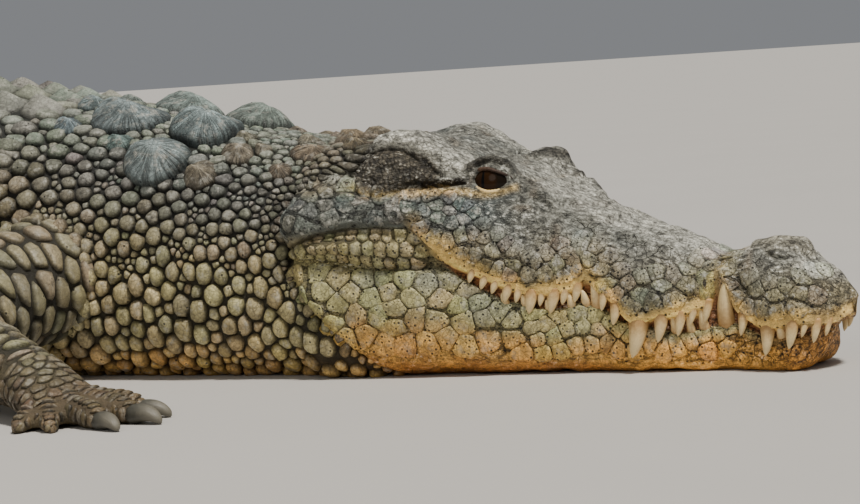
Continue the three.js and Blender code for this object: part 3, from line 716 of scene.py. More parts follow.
@dataclass
class HeadRelief:
    """Folds, sockets and swellings of the head, as distances out of its plain shape.

    Lines hold their points in the side view, their half-width and their height, below 0 for a furrow.
    Swells hold their middle, half-sizes, turn in degrees and height.
    """

    opening: tuple[float, float] = (23.5, 10.8)
    opening_centre: tuple[float, float] = (109.0, 192.6)
    opening_tilt: float = -3.0
    ball_radius: float = 23.4
    ball_depth: float = 55.4
    ball_rise: float = -1.5
    ball_ahead: float = -3.5
    lines: tuple[tuple[tuple[tuple[float, float], ...], float, float], ...] = (
        (((-36, 204), (-34, 196), (-26, 190), (-11, 186), (3, 184.5), (20, 187), (36, 191)), 2.6, -7.0),
        (((-36, 206), (-27, 217), (-14, 226)), 2.2, -3.2),
        (((-14, 226), (-1, 228.5), (13, 228), (30, 218), (46, 208), (60, 199)), 2.0, -3.2),
        (SLIT, 2.6, -12.0),
        (((26, 184), (36, 183), (50, 183), (64, 184), (80, 185)), 3.2, 3.2),
        (RIDGE, 7.0, 5.0),
        (((86, 203), (94, 207.5), (107, 208.5), (120, 205), (132, 197), (140, 188)), 1.8, -3.0),
        (BROW, 3.0, 3.6),
        (((84, 212), (97, 220), (113, 221), (131, 216), (146, 206), (156, 193), (158, 180)), 2.2, -3.4),
        (((138, 213), (152, 206), (164, 193), (165, 180)), 3.2, 3.6),
        (((82, 186), (89, 180), (101, 177), (117, 175), (133, 177), (148, 181)), 2.2, -3.4),
        (((90, 176), (104, 169), (126, 166), (150, 170)), 3.0, -2.4),
        (((153, 180), (165, 171), (175, 167), (186, 169)), 3.2, 3.0),
        (((157, 173), (172, 162), (184, 164)), 2.6, -2.8),
        (((166, 188), (182, 178), (200, 166)), 3.0, -2.4),
        (((-100, 128), (-85, 137), (-69, 143), (-29, 149), (7, 150), (39, 138), (57, 119), (74, 107)), 2.8, -5.5),
        (((-100, 124), (-40, 115), (-2, 110), (24, 111), (57, 112)), 2.6, -5.0),
        (((-98, 121), (-73, 112), (-52, 101), (-32, 97), (-18, 88)), 2.4, -3.4),
        (((28, 160), (40, 148), (50, 134), (62, 122)), 3.0, -2.6),
        (((-92, 136), (-60, 152), (-20, 159), (24, 160)), 4.0, 2.6),
        (((-60, 176), (-30, 170), (10, 172), (40, 168)), 2.4, -2.4),
        (((-72, 190), (-40, 182), (0, 178)), 2.4, -2.2),
        (((-62, 200), (-45, 194), (-28, 190)), 2.4, -2.0),
        (((380, 113), (392, 107), (406, 107)), 2.4, -4.5),
    )
    swells: tuple[tuple[float, float, float, float, float, float], ...] = (
        (11, 206, 43, 20, -7, 6), (-84, 158, 24, 18, 10, 9), (-40, 78, 62, 38, -18, 4.5), (60, 70, 60, 30, -12, 2.5),
        (84, 151, 22, 9, 0, 3), (104, 128, 22, 10, -28, 3), (150, 118, 22, 9, -15, 2.6), (196, 118, 22, 10, -15, 2.6),
        (120, 225, 10, 7, 0, 2), (176, 182, 12, 8, -30, 2.5), (212, 158, 18, 8, -25, 2), (258, 100, 20, 16, 0, 3),
        (280, 74, 12, 14, 0, 2.0), (-52, 196, 18, 10, 0, 3.0), (-66, 176, 14, 8, 0, 2.5),
    )

    def almond(self, x: Array, z: Array) -> Array:
        """Below 1 inside the eye's opening."""
        dx = (x - self.opening_centre[0]) / self.opening[0]
        dz = (z - self.opening_centre[1] - self.opening_tilt * dx) / self.opening[1]
        return np.abs(dx) ** ALMOND_POWER + np.abs(dz) ** ALMOND_POWER

    def shape(self, points: Array, place: Array) -> Array:
        """Moves the head's points.

        Args:
            points: Plain shape, as rings by points by 3.
            place: Each ring point's place among the head's lines.

        Returns:
            The moved points.
        """
        q = np.broadcast_to(place[None, :], points.shape[:-1])
        back = 15.0 * smooth(412, 453, points[..., 0]) * smooth(7.4, 5.6, q)
        points = points - back[..., None] * np.array([1.0, 0.0, 0.0])
        normal = -normals_of(points)
        x, a, z = points[..., 0], np.abs(points[..., 1]), points[..., 2]
        skin = smooth(-100, -80, x) * smooth(453, 430, x)
        calm = 1.0 - 0.8 * smooth(350, 372, x) * smooth(11.4, 12.4, q)
        out = skin * calm * (1.5 * lumps(points, 19, 3) + 1.2 * lumps(points, 9, 4))
        cheek = smooth(1, 2.5, q) * smooth(14.9, 14.2, q)
        for line, width, height in self.lines:
            out += height * bell(near_line(x, z, line), 0, width) * cheek
        for *oval, height in self.swells:
            out += height * smooth(1.15, 0.35, in_oval(x, z, tuple(oval))) * cheek
        # the ridge from the eye to the nose with the hollow below it
        ridge = smooth(140, 165, x) * smooth(345, 300, x)
        out += 2.4 * bell(q, 12.9, 0.35) * ridge * (0.7 + 0.6 * np.cos(x / 9.0 + 2.0 * np.sin(x / 23.0)))
        out -= 3.0 * bell(q, 12, 0.5) * smooth(150, 190, x) * smooth(330, 290, x)
        rough = lumps(points * np.array([1.0, 1.6, 1.6]), 15, 6)
        out += 3.2 * rough * smooth(11.4, 12.6, q) * smooth(150, 175, x) * skin * calm
        # bulges over the long teeth
        for tooth, height in ((257.0, 3.0), (280.0, 2.5), (408.0, 3.0), (382.0, 2.5), (174.0, 2.0), (152.0, 2.0)):
            out += height * bell(x, tooth, 9) * bell(q, 9.3, 1)
        # furrows between the sockets of the lower teeth
        for gap_x in (121, 139, 157, 180, 200, 232, 262, 282, 297, 312, 326, 356, 380):
            lean = x - gap_x + 0.12 * (z - 40.0)
            out -= 1.9 * bell(lean, 0, 2.4) * smooth(1.6, 2.6, q) * smooth(5, 4.2, q)
        out += 3.5 * smooth(420, 438, x) * smooth(9.5, 11.5, q)
        # nose disc and nostrils
        disc = nose_disc(x, a)
        top = smooth(12.2, 12.9, q)
        out += 2.4 * smooth(1.15, 0.75, disc) * top
        out -= 3.0 * bell(disc, 1.22, 0.14) * smooth(11, 12, q)
        crescent = bell(np.sqrt(((x - 382.0) / 13.0) ** 2 + ((a - 8.0) / 9.0) ** 2), 1, 0.22)
        out -= 8.0 * crescent * smooth(376, 384, x) * top
        out -= 2.5 * bell(a, 0, 3) * smooth(1, 0.7, disc) * top
        # fold between jaw and neck
        gap = x - FOLD(z)
        out -= 9.0 * bell(gap, -2, 5.5) * smooth(0.9, 2.2, q) * smooth(208, 180, z)
        out += 3.0 * bell(gap, 14, 9) * smooth(1, 2.4, q) * smooth(196, 170, z)
        return self.around_eye(points + normal * out[..., None])

    def around_eye(self, points: Array) -> Array:
        """Wraps the lids round the eyeball and opens the almond between them.

        Args:
            points: The head's points.

        Returns:
            The moved points.
        """
        x, a, z = points[..., 0], np.abs(points[..., 1]), points[..., 2]
        sign = np.sign(points[..., 1])
        folded = np.stack([x, a, z], axis=-1)
        away = folded - np.array([EYE_CENTRE[0] + self.ball_ahead, self.ball_depth, EYE_CENTRE[2] + self.ball_rise])
        distance = np.linalg.norm(away, axis=-1)
        outward = away[..., 1] > 2.0
        lid = self.ball_radius + 2.2
        reach = self.almond(x, z)
        push = np.where(outward | (away[..., 2] > 0.0), np.maximum(0.0, lid - distance), 0.0)
        pull = np.where(outward, np.maximum(0.0, distance - lid), 0.0) * smooth(3, 1.3, reach) * 0.75
        open_share = smooth(1.15, 0.85, reach) * (a > 45.0)
        sink = np.where(outward, np.maximum(0.0, distance - (self.ball_radius - 4.0)), 0.0)
        direction = away / np.maximum(distance, 1e-6)[..., None]
        move = (push - pull) * (1.0 - open_share) - sink * open_share
        folded = folded + direction * move[..., None]
        return np.stack([folded[..., 0], folded[..., 1] * sign, folded[..., 2]], axis=-1)


@dataclass
class Skin:
    """One closed skin from the nose to the tail's tip with its four legs."""

    head: HeadShape = field(default_factory=HeadShape)
    body: BodyShape = field(default_factory=BodyShape)
    relief: HeadRelief = field(default_factory=HeadRelief)
    body_points: int = 90
    leg_voxel: float = 6.0

    def stations(self) -> Array:
        """Where the head's rings lie, closer together at the eye."""
        spans = ((-100.0, 20.0, 3.0), (20.0, 150.0, 1.7), (150.0, 430.0, 3.0))
        even = [np.arange(low, high - 0.4 * step, step) for low, high, step in spans]
        return np.concatenate(even + [453.0 - 23.0 * np.linspace(1.0, 0.0, 14) ** 1.7])

    def head_grid(self) -> tuple[Array, Array]:
        """Head points with relief, its rear ring drawn to the neck's outline."""
        x = self.stations()
        grid, place = self.head.grid(x)
        rear = x < -60.0
        s = -x[rear]
        neck = self.body.ring(s, 400, np.full(len(s), COAT_DEPTH))
        blend = smooth(-64, -98, x[rear])
        ring = grid[rear]
        step = np.linalg.norm(np.diff(ring, axis=1, append=ring[:, :1]), axis=-1)
        share = np.concatenate([np.zeros((len(s), 1)), np.cumsum(step, axis=1)[:, :-1]], axis=1)
        share /= np.sum(step, axis=1, keepdims=True)
        for i in range(len(s)):
            closed = np.vstack([neck[i], neck[i, :1]])
            side, z = (np.interp(share[i], np.linspace(0, 1, 401), closed[:, k]) for k in (0, 1))
            ring[i, :, 1] = mix(ring[i, :, 1], side, blend[i])
            ring[i, :, 2] = mix(ring[i, :, 2], z, blend[i])
        grid[rear] = ring
        shaped = self.relief.shape(grid, place)
        shaped[..., 2] = np.maximum(shaped[..., 2], 0.0)
        shaped[0] = grid[0]
        return shaped, place

    def body_grid(self, step: float = 15.0) -> Array:
        """Neck, trunk and tail points, inside the coat."""
        s = np.concatenate([np.arange(105.0, 2800.0, step), [2815.0, 2830.0, 2841.0]])
        inset = COAT_DEPTH * smooth(TAIL_TIP + 10.0, 2500, s) + 0.2
        grid = self.body.grid(s, self.body_points, inset)
        fade = smooth(100, 160, s)[:, None]
        grid += normals_of(grid) * (fade * lumps(grid, 60, 7))[..., None]
        grid[..., 2] = np.maximum(grid[..., 2], 0.0)
        return grid

    def leg_object(self, leg: LegShape) -> bpy.types.Object:
        """One leg as a closed skin of even small faces."""
        bm = bmesh.new()
        parts = [leg.limb(28, 40, SKIN_LIMB), leg.palm_rings(12, 32, SKIN_PALM)]
        parts += [leg.digit_rings(i, 16, 20, SKIN_TOE) for i in range(len(leg.digits))]
        for rings in parts:
            piece = grid_bmesh(rings, caps=True)
            bmesh.ops.recalc_face_normals(piece, faces=piece.faces)
            append(bm, piece)
        flesh = f"{leg.name}_flesh"
        obj = linked(flesh, mesh_of(flesh, bm))
        remesh = obj.modifiers.new("even", "REMESH")
        remesh.mode, remesh.voxel_size = "VOXEL", self.leg_voxel * MM
        self.apply(obj)
        bm = bmesh.new()
        bm.from_mesh(obj.data)
        even_out(bm, bm.verts, 3)
        for vert in bm.verts:
            vert.co.z = max(vert.co.z, 0.0)
        bm.to_mesh(obj.data)
        bm.free()
        return obj

    @staticmethod
    def apply(obj: bpy.types.Object) -> None:
        """Writes an object's modifiers into its mesh."""
        graph = bpy.context.evaluated_depsgraph_get()
        mesh = bpy.data.meshes.new_from_object(obj.evaluated_get(graph))
        obj.modifiers.clear()
        old, obj.data = obj.data, mesh
        bpy.data.meshes.remove(old)

    def build(self) -> bpy.types.Object:
        """Joins head, body and legs.

        Returns:
            The skin's object.
        """
        bm = bmesh.new()
        for grid in (self.head_grid()[0], self.body_grid()):
            append(bm, grid_bmesh(grid, caps=False))
        inner = (-102.5 + Place.offset[0]) * MM
        rims = [e for e in bm.edges if e.is_boundary and abs(e.verts[0].co.x - inner) < 4.5 * MM]
        bmesh.ops.bridge_loops(bm, edges=rims)
        bmesh.ops.holes_fill(bm, edges=[e for e in bm.edges if e.is_boundary], sides=0)
        skin = object_of("skin", bm)
        for leg in LEGS:
            part = self.leg_object(leg)
            union = skin.modifiers.new(leg.name, "BOOLEAN")
            union.operation, union.object, union.solver = "UNION", part, "MANIFOLD"
            self.apply(skin)
            bpy.data.objects.remove(part)
        self.soften(skin)
        skin.data.polygons.foreach_set("use_smooth", np.ones(len(skin.data.polygons), dtype=bool))
        return skin

    def soften(self, skin: bpy.types.Object) -> None:
        """Smooths the skin where the legs leave the body."""
        bm = bmesh.new()
        bm.from_mesh(skin.data)
        limit = (-130.0 + Place.offset[0]) * MM
        near = set()
        for edge in bm.edges:
            if len(edge.link_faces) == 2 and edge.verts[0].co.x < limit and edge.calc_face_angle(0.0) > 0.45:
                near.update(edge.verts)
        for _ in range(4):
            near |= {e.other_vert(v) for v in near for e in v.link_edges}
        verts = [v for v in near if v.co.x < limit and v.co.z > 4 * MM]
        even_out(bm, verts, 12)
        bm.to_mesh(skin.data)
        bm.free()


# ---------------------------------------------------------------- markings
def paint(red: float, green: float, blue: float) -> Array:
    """Linear colour of display values from 0 to 255."""
    c = np.array([red, green, blue]) / 255.0
    return np.where(c <= 0.04045, c / 12.92, ((c + 0.055) / 1.055) ** 2.4)


def hue(red: float, green: float, blue: float) -> Array:
    """Field that holds a colour."""
    return field(default_factory=lambda: paint(red, green, blue))


@dataclass(frozen=True)
class Marking:
    """The animal's colours by place, the same for the skin and for the coat."""

    pale: Array = hue(228, 226, 212)
    crown: Array = hue(134, 134, 125)
    slate: Array = hue(80, 92, 94)
    rust: Array = hue(118, 96, 68)
    snout: Array = hue(130, 121, 94)
    lip: Array = hue(255, 214, 126)
    # gum colour; the mouth slot takes it partly as painted shade, and the ear slit takes it darkened almost to black
    # as painted shade
    gum_and_shade: Array = hue(140, 92, 54)
    flap: Array = hue(88, 82, 70)
    jaw: Array = hue(166, 156, 108)
    jaw_foot: Array = hue(190, 126, 52)
    neck_low: Array = hue(178, 165, 122)
    neck_high: Array = hue(98, 99, 93)
    back: Array = hue(114, 119, 108)
    flank: Array = hue(134, 122, 92)
    belly: Array = hue(186, 172, 126)
    band: Array = hue(70, 68, 60)
    limb: Array = hue(98, 90, 68)

    def spread(self, colour: Array, shape: tuple[int, ...]) -> Array:
        """One colour for every place."""
        return np.broadcast_to(colour, shape + (3,)).copy()

    def head(self, points: Array) -> Array:
        """Colours ahead of the fold between jaw and neck.

        Args:
            points: Places, in millimetres.

        Returns:
            Linear colours.
        """
        x, z = points[..., 0], points[..., 2]
        shape = HeadShape()
        lip, margin = shape.lip_height(x), shape.jaw_height(x)
        n, m = lumps(points, 34, 11), lumps(points, 11, 12)
        rise = z - lip + 7.0 * n + 4.0 * m
        upper = tint(self.spread(self.snout, x.shape), self.crown, smooth(26, 70, rise))
        upper = tint(upper, self.slate, 0.45 * smooth(0, 0.9, n + 0.5 * m) * smooth(14, 34, rise))
        upper = tint(upper, self.rust, 0.4 * smooth(0.3, 0.9, m - 0.6 * n) * smooth(10, 60, rise))
        # painted light: the middle of the snout's top is blended toward pale, as sunlight from above would light it
        top = smooth(0.8, 0.45, np.abs(points[..., 1]) / shape.lip_width(x))
        top = top * smooth(30, 52, rise) * smooth(90, 140, x)
        upper = tint(upper, self.pale * 0.8, 0.6 * top)
        cheek = smooth(150, 110, x + 10.0 * m) * smooth(136, 152, z) * smooth(192, 182, z)
        upper = tint(upper, self.slate * 0.8, 0.75 * cheek)
        band = smooth(mix(30.0, 20.0, smooth(60, 140, x)), 7, rise) * smooth(30, 75, x)
        band *= (1.0 - 0.85 * bell(x, 337, 14)) * (1.0 - 0.5 * bell(x, 207, 8))
        upper = tint(upper, self.lip, band)
        front = smooth(372, 392, x) * smooth(24, 8, rise) * smooth(-0.4, 0.5, lumps(points, 14, 15))
        upper = tint(upper, self.rust * 0.8, 0.65 * front)
        share = np.clip(z / np.maximum(margin, 20.0), 0.0, 1.0) + 0.06 * m + 0.05 * n
        lower = tint(self.spread(self.jaw, x.shape), self.slate, 0.5 * smooth(0.1, 0.7, n) * smooth(0.35, 0.6, share))
        lower = tint(lower, self.lip * np.array([0.84, 0.66, 0.42]), 0.75 * smooth(0.62, 0.28, share))
        lower = tint(lower, self.jaw_foot, smooth(0.30, 0.06, share))
        fore = 0.8 * smooth(200, 280, x + 20.0 * m) * smooth(0.9, 0.6, share)
        lower = tint(lower, self.lip * np.array([0.9, 0.68, 0.42]), fore)
        lower = tint(lower, self.jaw_foot, 0.7 * smooth(350, 425, x + 20.0 * m))
        colour = np.where((z > 0.5 * (lip + margin))[..., None], upper, lower)
        corner = smooth(80, 50, x) * smooth(lip + 3.0, lip - 3.0, z) * smooth(margin - 3.0, margin + 3.0, z)
        colour = tint(colour, 0.4 * (self.jaw + self.neck_low), 0.85 * corner)
        y = np.abs(points[..., 1])
        # pale ridge above the ear flap: partly its own pale colour, partly a painted highlight on the ridge's
        # upward-facing top
        crest = bell(near_line(x, z, RIDGE), 0, 9) * (z > 195.0) * smooth(46, 56, y)
        colour = tint(colour, self.pale, 0.85 * crest)
        flap = smooth(1.08, 0.9, in_oval(x, z, FLAP))
        colour = tint(colour, self.flap, flap)
        # partly the gum's own colour, partly painted shade: the recess of the mouth slot between lip and jaw takes a
        # dark orange-brown
        slot = smooth(1, -1, z - lip) * smooth(-1.5, 0.5, z - margin) * smooth(3, 5.5, shape.lip_width(x) - y)
        colour = tint(colour, self.gum_and_shade, slot * smooth(56, 84, x) * smooth(446, 434, x))
        disc = smooth(1.25, 1, nose_disc(x, y)) * (z > 96.0)
        colour = tint(colour, 0.6 * self.snout + 0.25 * self.pale, 0.85 * disc)
        stain = smooth(0.1, 0.8, lumps(points, 6, 13) + 0.5 * m) * smooth(12, 30, rise) * (z > lip)
        colour = colour * (1.0 - 0.45 * stain)[..., None]
        under = bell(near_line(x, z, UNDER_LID), 0, 3)
        colour = tint(colour, self.lip * np.array([0.8, 0.85, 1.1]), 0.8 * under * smooth(193, 188, z))
        rim = bell(near_line(x, z, FLAP_RIM), 0, 2.2)
        colour = tint(colour, self.lip * np.array([0.5, 0.55, 0.7]), 0.8 * rim)
        brow = bell(near_line(x, z, BROW), 0, 5) * (y > 40.0)
        colour = tint(colour, self.flap * 0.34, 0.9 * brow)
        # painted shade: the ear slit's recess is painted almost black
        colour = tint(colour, self.gum_and_shade * 0.04, smooth(5, 3, near_line(x, z, SLIT)))
        return colour * (1.0 + 0.12 * n + 0.12 * m)[..., None]

    def trunk(self, points: Array, s: Array, share: Array) -> Array:
        """Colours of neck, trunk and tail.

        Args:
            points: Places, in millimetres.
            s: Distance behind the skull table.
            share: Height, from 0 at the floor to 1 on the back.

        Returns:
            Linear colours.
        """
        n = lumps(points, 90, 21)
        m = lumps(points, 30, 22)
        h = share + 0.05 * n
        neck = tint(self.spread(self.neck_low, s.shape), self.neck_high, smooth(0.35, 0.8, h))
        neck = tint(neck, self.back * 1.25, smooth(0.8, 0.95, h))
        fold = smooth(150, 70, s) * smooth(0.6, 0.72, h)
        neck = tint(neck, self.rust * 0.7, 0.55 * fold)
        # painted shade: the neck is darkened by up to 45% in the crease just behind the fold between jaw and neck
        crease = smooth(26, 4, FOLD(points[..., 2]) - points[..., 0])
        neck = neck * (1.0 - 0.45 * crease)[..., None]
        neck = tint(neck, self.lip * np.array([0.62, 0.5, 0.34]), 0.75 * smooth(0.2, 0.05, h))
        trunk = tint(self.spread(self.belly, s.shape), self.flank, smooth(0.12, 0.42, h))
        trunk = tint(trunk, self.back, smooth(0.66, 0.95, h))
        colour = tint(neck, trunk, smooth(330, 480, s))
        phase = 0.5 + 0.5 * np.sin((s + 25.0 * m) * 2.0 * np.pi / mix(190.0, 150.0, smooth(400, 2000, s)))
        dark = smooth(0.62, 0.95, phase) * smooth(430, 560, s) * smooth(0.25, 0.5, h)
        dark *= 0.45 + 0.35 * smooth(1200, 1700, s)
        dark = np.maximum(dark, 0.75 * smooth(0.55, 0.9, m + 0.4 * n) * smooth(450, 560, s) * smooth(0.3, 0.55, h))
        return tint(colour, self.band, dark) * (1.0 + 0.08 * m)[..., None]

    def leg(self, points: Array) -> Array:
        """Colours of legs and feet.

        Args:
            points: Places, in millimetres.

        Returns:
            Linear colours.
        """
        n = lumps(points, 40, 31)[..., None]
        under = smooth(18, 4, points[..., 2])[..., None]
        shoulder = smooth(44, 84, points[..., 2])[..., None]
        colour = mix(self.spread(self.limb, points.shape[:-1]), self.flank, smooth(0.1, 0.7, n) * 0.6)
        colour = mix(colour, 0.5 * (self.neck_high + self.neck_low), 0.85 * shoulder)
        foot = smooth(46, 30, points[..., 2])[..., None]
        colour = mix(colour, self.rust * 0.62, 0.6 * foot)
        return mix(colour, self.neck_low * 0.8, 0.2 * under) * (1.0 + 0.12 * n)


def body_place(points: Array, spine: Spine) -> Array:
    """Distance behind the skull table of places near the body.

    Args:
        points: Places, in millimetres.
        spine: The body's middle line.

    Returns:
        One distance for each place.
    """
    s = np.maximum(-points[..., 0], 0.0)
    for _ in range(6):
        h = np.interp(s, spine.s, spine.heading)
        x, y = np.interp(s, spine.s, spine.x), np.interp(s, spine.s, spine.y)
        s = np.clip(s - ((points[..., 0] - x) * np.cos(h) + (points[..., 1] - y) * np.sin(h)), 0.0, TAIL_TIP)
    return s


# ---------------------------------------------------------------- coat
@dataclass
class Sheet:
    """A surface of rings on which scales grow, with the place of each point on the skin's unwrap."""

    points: Array
    chart_low: tuple[float, float]
    chart_high: tuple[float, float]

    def __post_init__(self) -> None:
        """Works out normals and the steps between points."""
        wrapped = np.concatenate([self.points[:, -2:], self.points, self.points[:, :2]], axis=1)
        self.normals = normals_of(wrapped)[:, 2:-2]
        self.along = np.gradient(self.points, axis=0)
        self.around = np.gradient(wrapped, axis=1)[:, 2:-2]

    def sample(self, field_values: Array, u: Array, v: Array) -> Array:
        """Value between the grid's points at row u and column v.

        Args:
            field_values: A value for each of the grid's points.
            u: Rows.
            v: Columns.

        Returns:
            The values there.
        """
        rows, columns = self.points.shape[:2]
        u = np.clip(u, 0.0, rows - 1.001)
        i, j = np.floor(u).astype(int), np.floor(v).astype(int)
        a, b = (u - i)[..., None], (v - j)[..., None]
        j0, j1 = j % columns, (j + 1) % columns
        return (
            field_values[i, j0] * (1 - a) * (1 - b)
            + field_values[i + 1, j0] * a * (1 - b)
            + field_values[i, j1] * (1 - a) * b
            + field_values[i + 1, j1] * a * b
        )

    def frame(self, u: Array, v: Array) -> tuple[Array, ...]:
        """Point, normal, directions along and around, and the steps' sizes at row u and column v.

        Args:
            u: Rows.
            v: Columns.

        Returns:
            Points, normals, both directions, both steps' sizes and how far they lean.
        """
        point, normal = self.sample(self.points, u, v), self.sample(self.normals, u, v)
        along, around = self.sample(self.along, u, v), self.sample(self.around, u, v)
        width = np.maximum(np.linalg.norm(around, axis=-1), 1e-3)
        second = around / width[..., None]
        shear = np.sum(along * second, axis=-1)
        first = along - second * shear[..., None]
        length = np.maximum(np.linalg.norm(first, axis=-1), 1e-3)
        return point, normal, first / length[..., None], second, length, width, shear

    def chart(self, u: Array, v: Array) -> Array:
        """Place on the skin's unwrap."""
        rows, columns = self.points.shape[:2]
        low, high = np.array(self.chart_low), np.array(self.chart_high)
        share = np.stack([u / (rows - 1), np.mod(v, columns) / columns], axis=-1)
        return low + (high - low) * share


@dataclass
class Seeds:
    """Where scales grow on a sheet, and how wide they are."""

    u: Array
    v: Array
    size: Array
    stretch: Array

    def keep(self, mask: Array) -> "Seeds":
        """The seeds for which the mask is true."""
        return Seeds(self.u[mask], self.v[mask], self.size[mask], self.stretch[mask])

    def joined(self, other: "Seeds") -> "Seeds":
        """These seeds followed by others."""
        pairs = ((self.u, other.u), (self.v, other.v), (self.size, other.size), (self.stretch, other.stretch))
        return Seeds(*(np.concatenate(pair) for pair in pairs))


Measure = Callable[[Array, Array, Array], tuple[Array, Array]]


def scatter(sheet: Sheet, measure: Measure, seed: int, rounds: int = 3, among: Seeds | None = None) -> Seeds:
    """Spreads scales over a sheet so that none crowds another.

    Args:
        sheet: The surface.
        measure: Gives each place's scale width, 0 where none grows, and how much taller than long it is.
        seed: Which random spread.
        rounds: How often the scales move apart.
        among: Scales that are there already, which keep their places.

    Returns:
        The seeds, the earlier ones included.
    """
    rng = np.random.default_rng(seed)
    rows, columns = sheet.points.shape[:2]
    uu, vv = np.meshgrid(np.arange(rows - 1) + 0.5, np.arange(columns) + 0.5, indexing="ij")
    point, _, _, _, length, width, _ = sheet.frame(uu, vv)
    size, _ = measure(point, uu, vv)
    density = np.where(size > 0.0, length * width / np.maximum(size, 1.0) ** 2, 0.0)
    total = density.sum()
    count = int(total * TRIES)
    pick = np.searchsorted(np.cumsum(density.ravel()), rng.uniform(0.0, total, count))
    pick = np.minimum(pick, density.size - 1)
    u = uu.ravel()[pick] + rng.uniform(-0.5, 0.5, count)
    v = vv.ravel()[pick] + rng.uniform(-0.5, 0.5, count)
    point, _, first, second = sheet.frame(u, v)[:4]
    size, stretch = measure(point, u, v)
    tall = np.sqrt(stretch)
    tree = kd_tree(point)
    alive = size > 0.0
    if among is not None:
        old, _, along, across = sheet.frame(among.u, among.v)[:4]
        for place, one, two, wide, high in zip(old, along, across, among.size, np.sqrt(among.stretch)):
            found = np.array([hit[1] for hit in tree.find_range(place, 0.62 * wide * high + 12.0)], dtype=int)
            away = point[found] - place
            far = np.hypot(away @ one * high, away @ two / high)
            alive[found[far < 0.47 * wide + 0.44 * size[found]]] = False
    for i in range(count):
        if not alive[i]:
            continue
        reach = 0.80 * size[i]
        found = np.array([hit[1] for hit in tree.find_range(point[i], reach * tall[i])])
        away = point[found] - point[i]
        a, b = away @ first[i] * tall[i], away @ second[i] / tall[i]
        near = (a * a + b * b < reach * reach) & (found != i)
        alive[found[near]] = False
    seeds = Seeds(u[alive], v[alive], size[alive], stretch[alive])
    for _ in range(rounds):
        seeds = spread_out(sheet, measure, seeds)
    return seeds if among is None else among.joined(seeds)


def kd_tree(points: Array) -> KDTree:
    """Tree for finding near points."""
    tree = KDTree(len(points))
    for i, point in enumerate(points.tolist()):
        tree.insert(point, i)
    tree.balance()
    return tree


def neighbours(point: Array, count: int) -> Array:
    """Numbers of the nearest other points, padded with the point itself."""
    tree = kd_tree(point)
    table = np.tile(np.arange(len(point))[:, None], (1, count))
    for i, place in enumerate(point.tolist()):
        found = [hit[1] for hit in tree.find_n(place, count + 1) if hit[1] != i][:count]
        table[i, : len(found)] = found
    return table


def offsets(point: Array, first: Array, second: Array, stretch: Array, table: Array) -> tuple[Array, ...]:
    """Distances from each scale to its neighbours, evened for its stretch.

    Args:
        point: Middles of the scales.
        first: Directions along the sheet.
        second: Directions around it.
        stretch: How much wider than long each scale is.
        table: Numbers of the neighbours.

    Returns:
        Distances along and around.
    """
    away = point[table] - point[:, None]
    tall = np.sqrt(stretch)[:, None]
    return np.sum(away * first[:, None], axis=-1) * tall, np.sum(away * second[:, None], axis=-1) / tall


def spread_out(sheet: Sheet, measure: Measure, seeds: Seeds) -> Seeds:
    """Moves seeds a little apart where they crowd.

    Args:
        sheet: The surface.
        measure: Gives each place's scale width and stretch.
        seeds: Where the scales are.

    Returns:
        The moved seeds.
    """
    point, _, first, second, length, width, shear = sheet.frame(seeds.u, seeds.v)
    table = neighbours(point, 7)
    a, b = offsets(point, first, second, seeds.stretch, table)
    tall = np.sqrt(seeds.stretch)
    distance = np.sqrt(a * a + b * b) + 1e-6
    wanted = 0.5 * (seeds.size[:, None] + seeds.size[table]) * ROOM
    push = np.where(distance > 1e-3, np.clip(wanted - distance, 0.0, None), 0.0)
    move_a = -np.sum(push * a / distance, axis=1) * PACE / tall
    move_b = -np.sum(push * b / distance, axis=1) * PACE * tall
    du = move_a / length
    dv = (move_b - du * shear) / width
    u = np.clip(seeds.u + du, 0.0, sheet.points.shape[0] - 1.001)
    v = seeds.v + dv
    size, stretch = measure(sheet.frame(u, v)[0], u, v)
    held = size > 0.0
    u, v = np.where(held, u, seeds.u), np.where(held, v, seeds.v)
    return Seeds(u, v, np.where(held, size, seeds.size), np.where(held, stretch, seeds.stretch))


@dataclass(frozen=True)
class ScaleShape:
    """How one kind of scale stands on the skin, in shares of its half-width unless said otherwise."""

    height: float = 0.5
    most: float = 7.0
    keel: float = 0.0
    keel_width: float = 0.3
    tilt: float = 0.0
    gap: float = 1.6
    sink: float = 2.0
    directions: int = 12
    levels: tuple[tuple[float, float], ...] = ((1.0, 0.0), (0.95, 0.5), (0.72, 0.88), (0.36, 1.0))
    square: float = 10.0
    limit: float = 0.66
    rough: float = 0.0


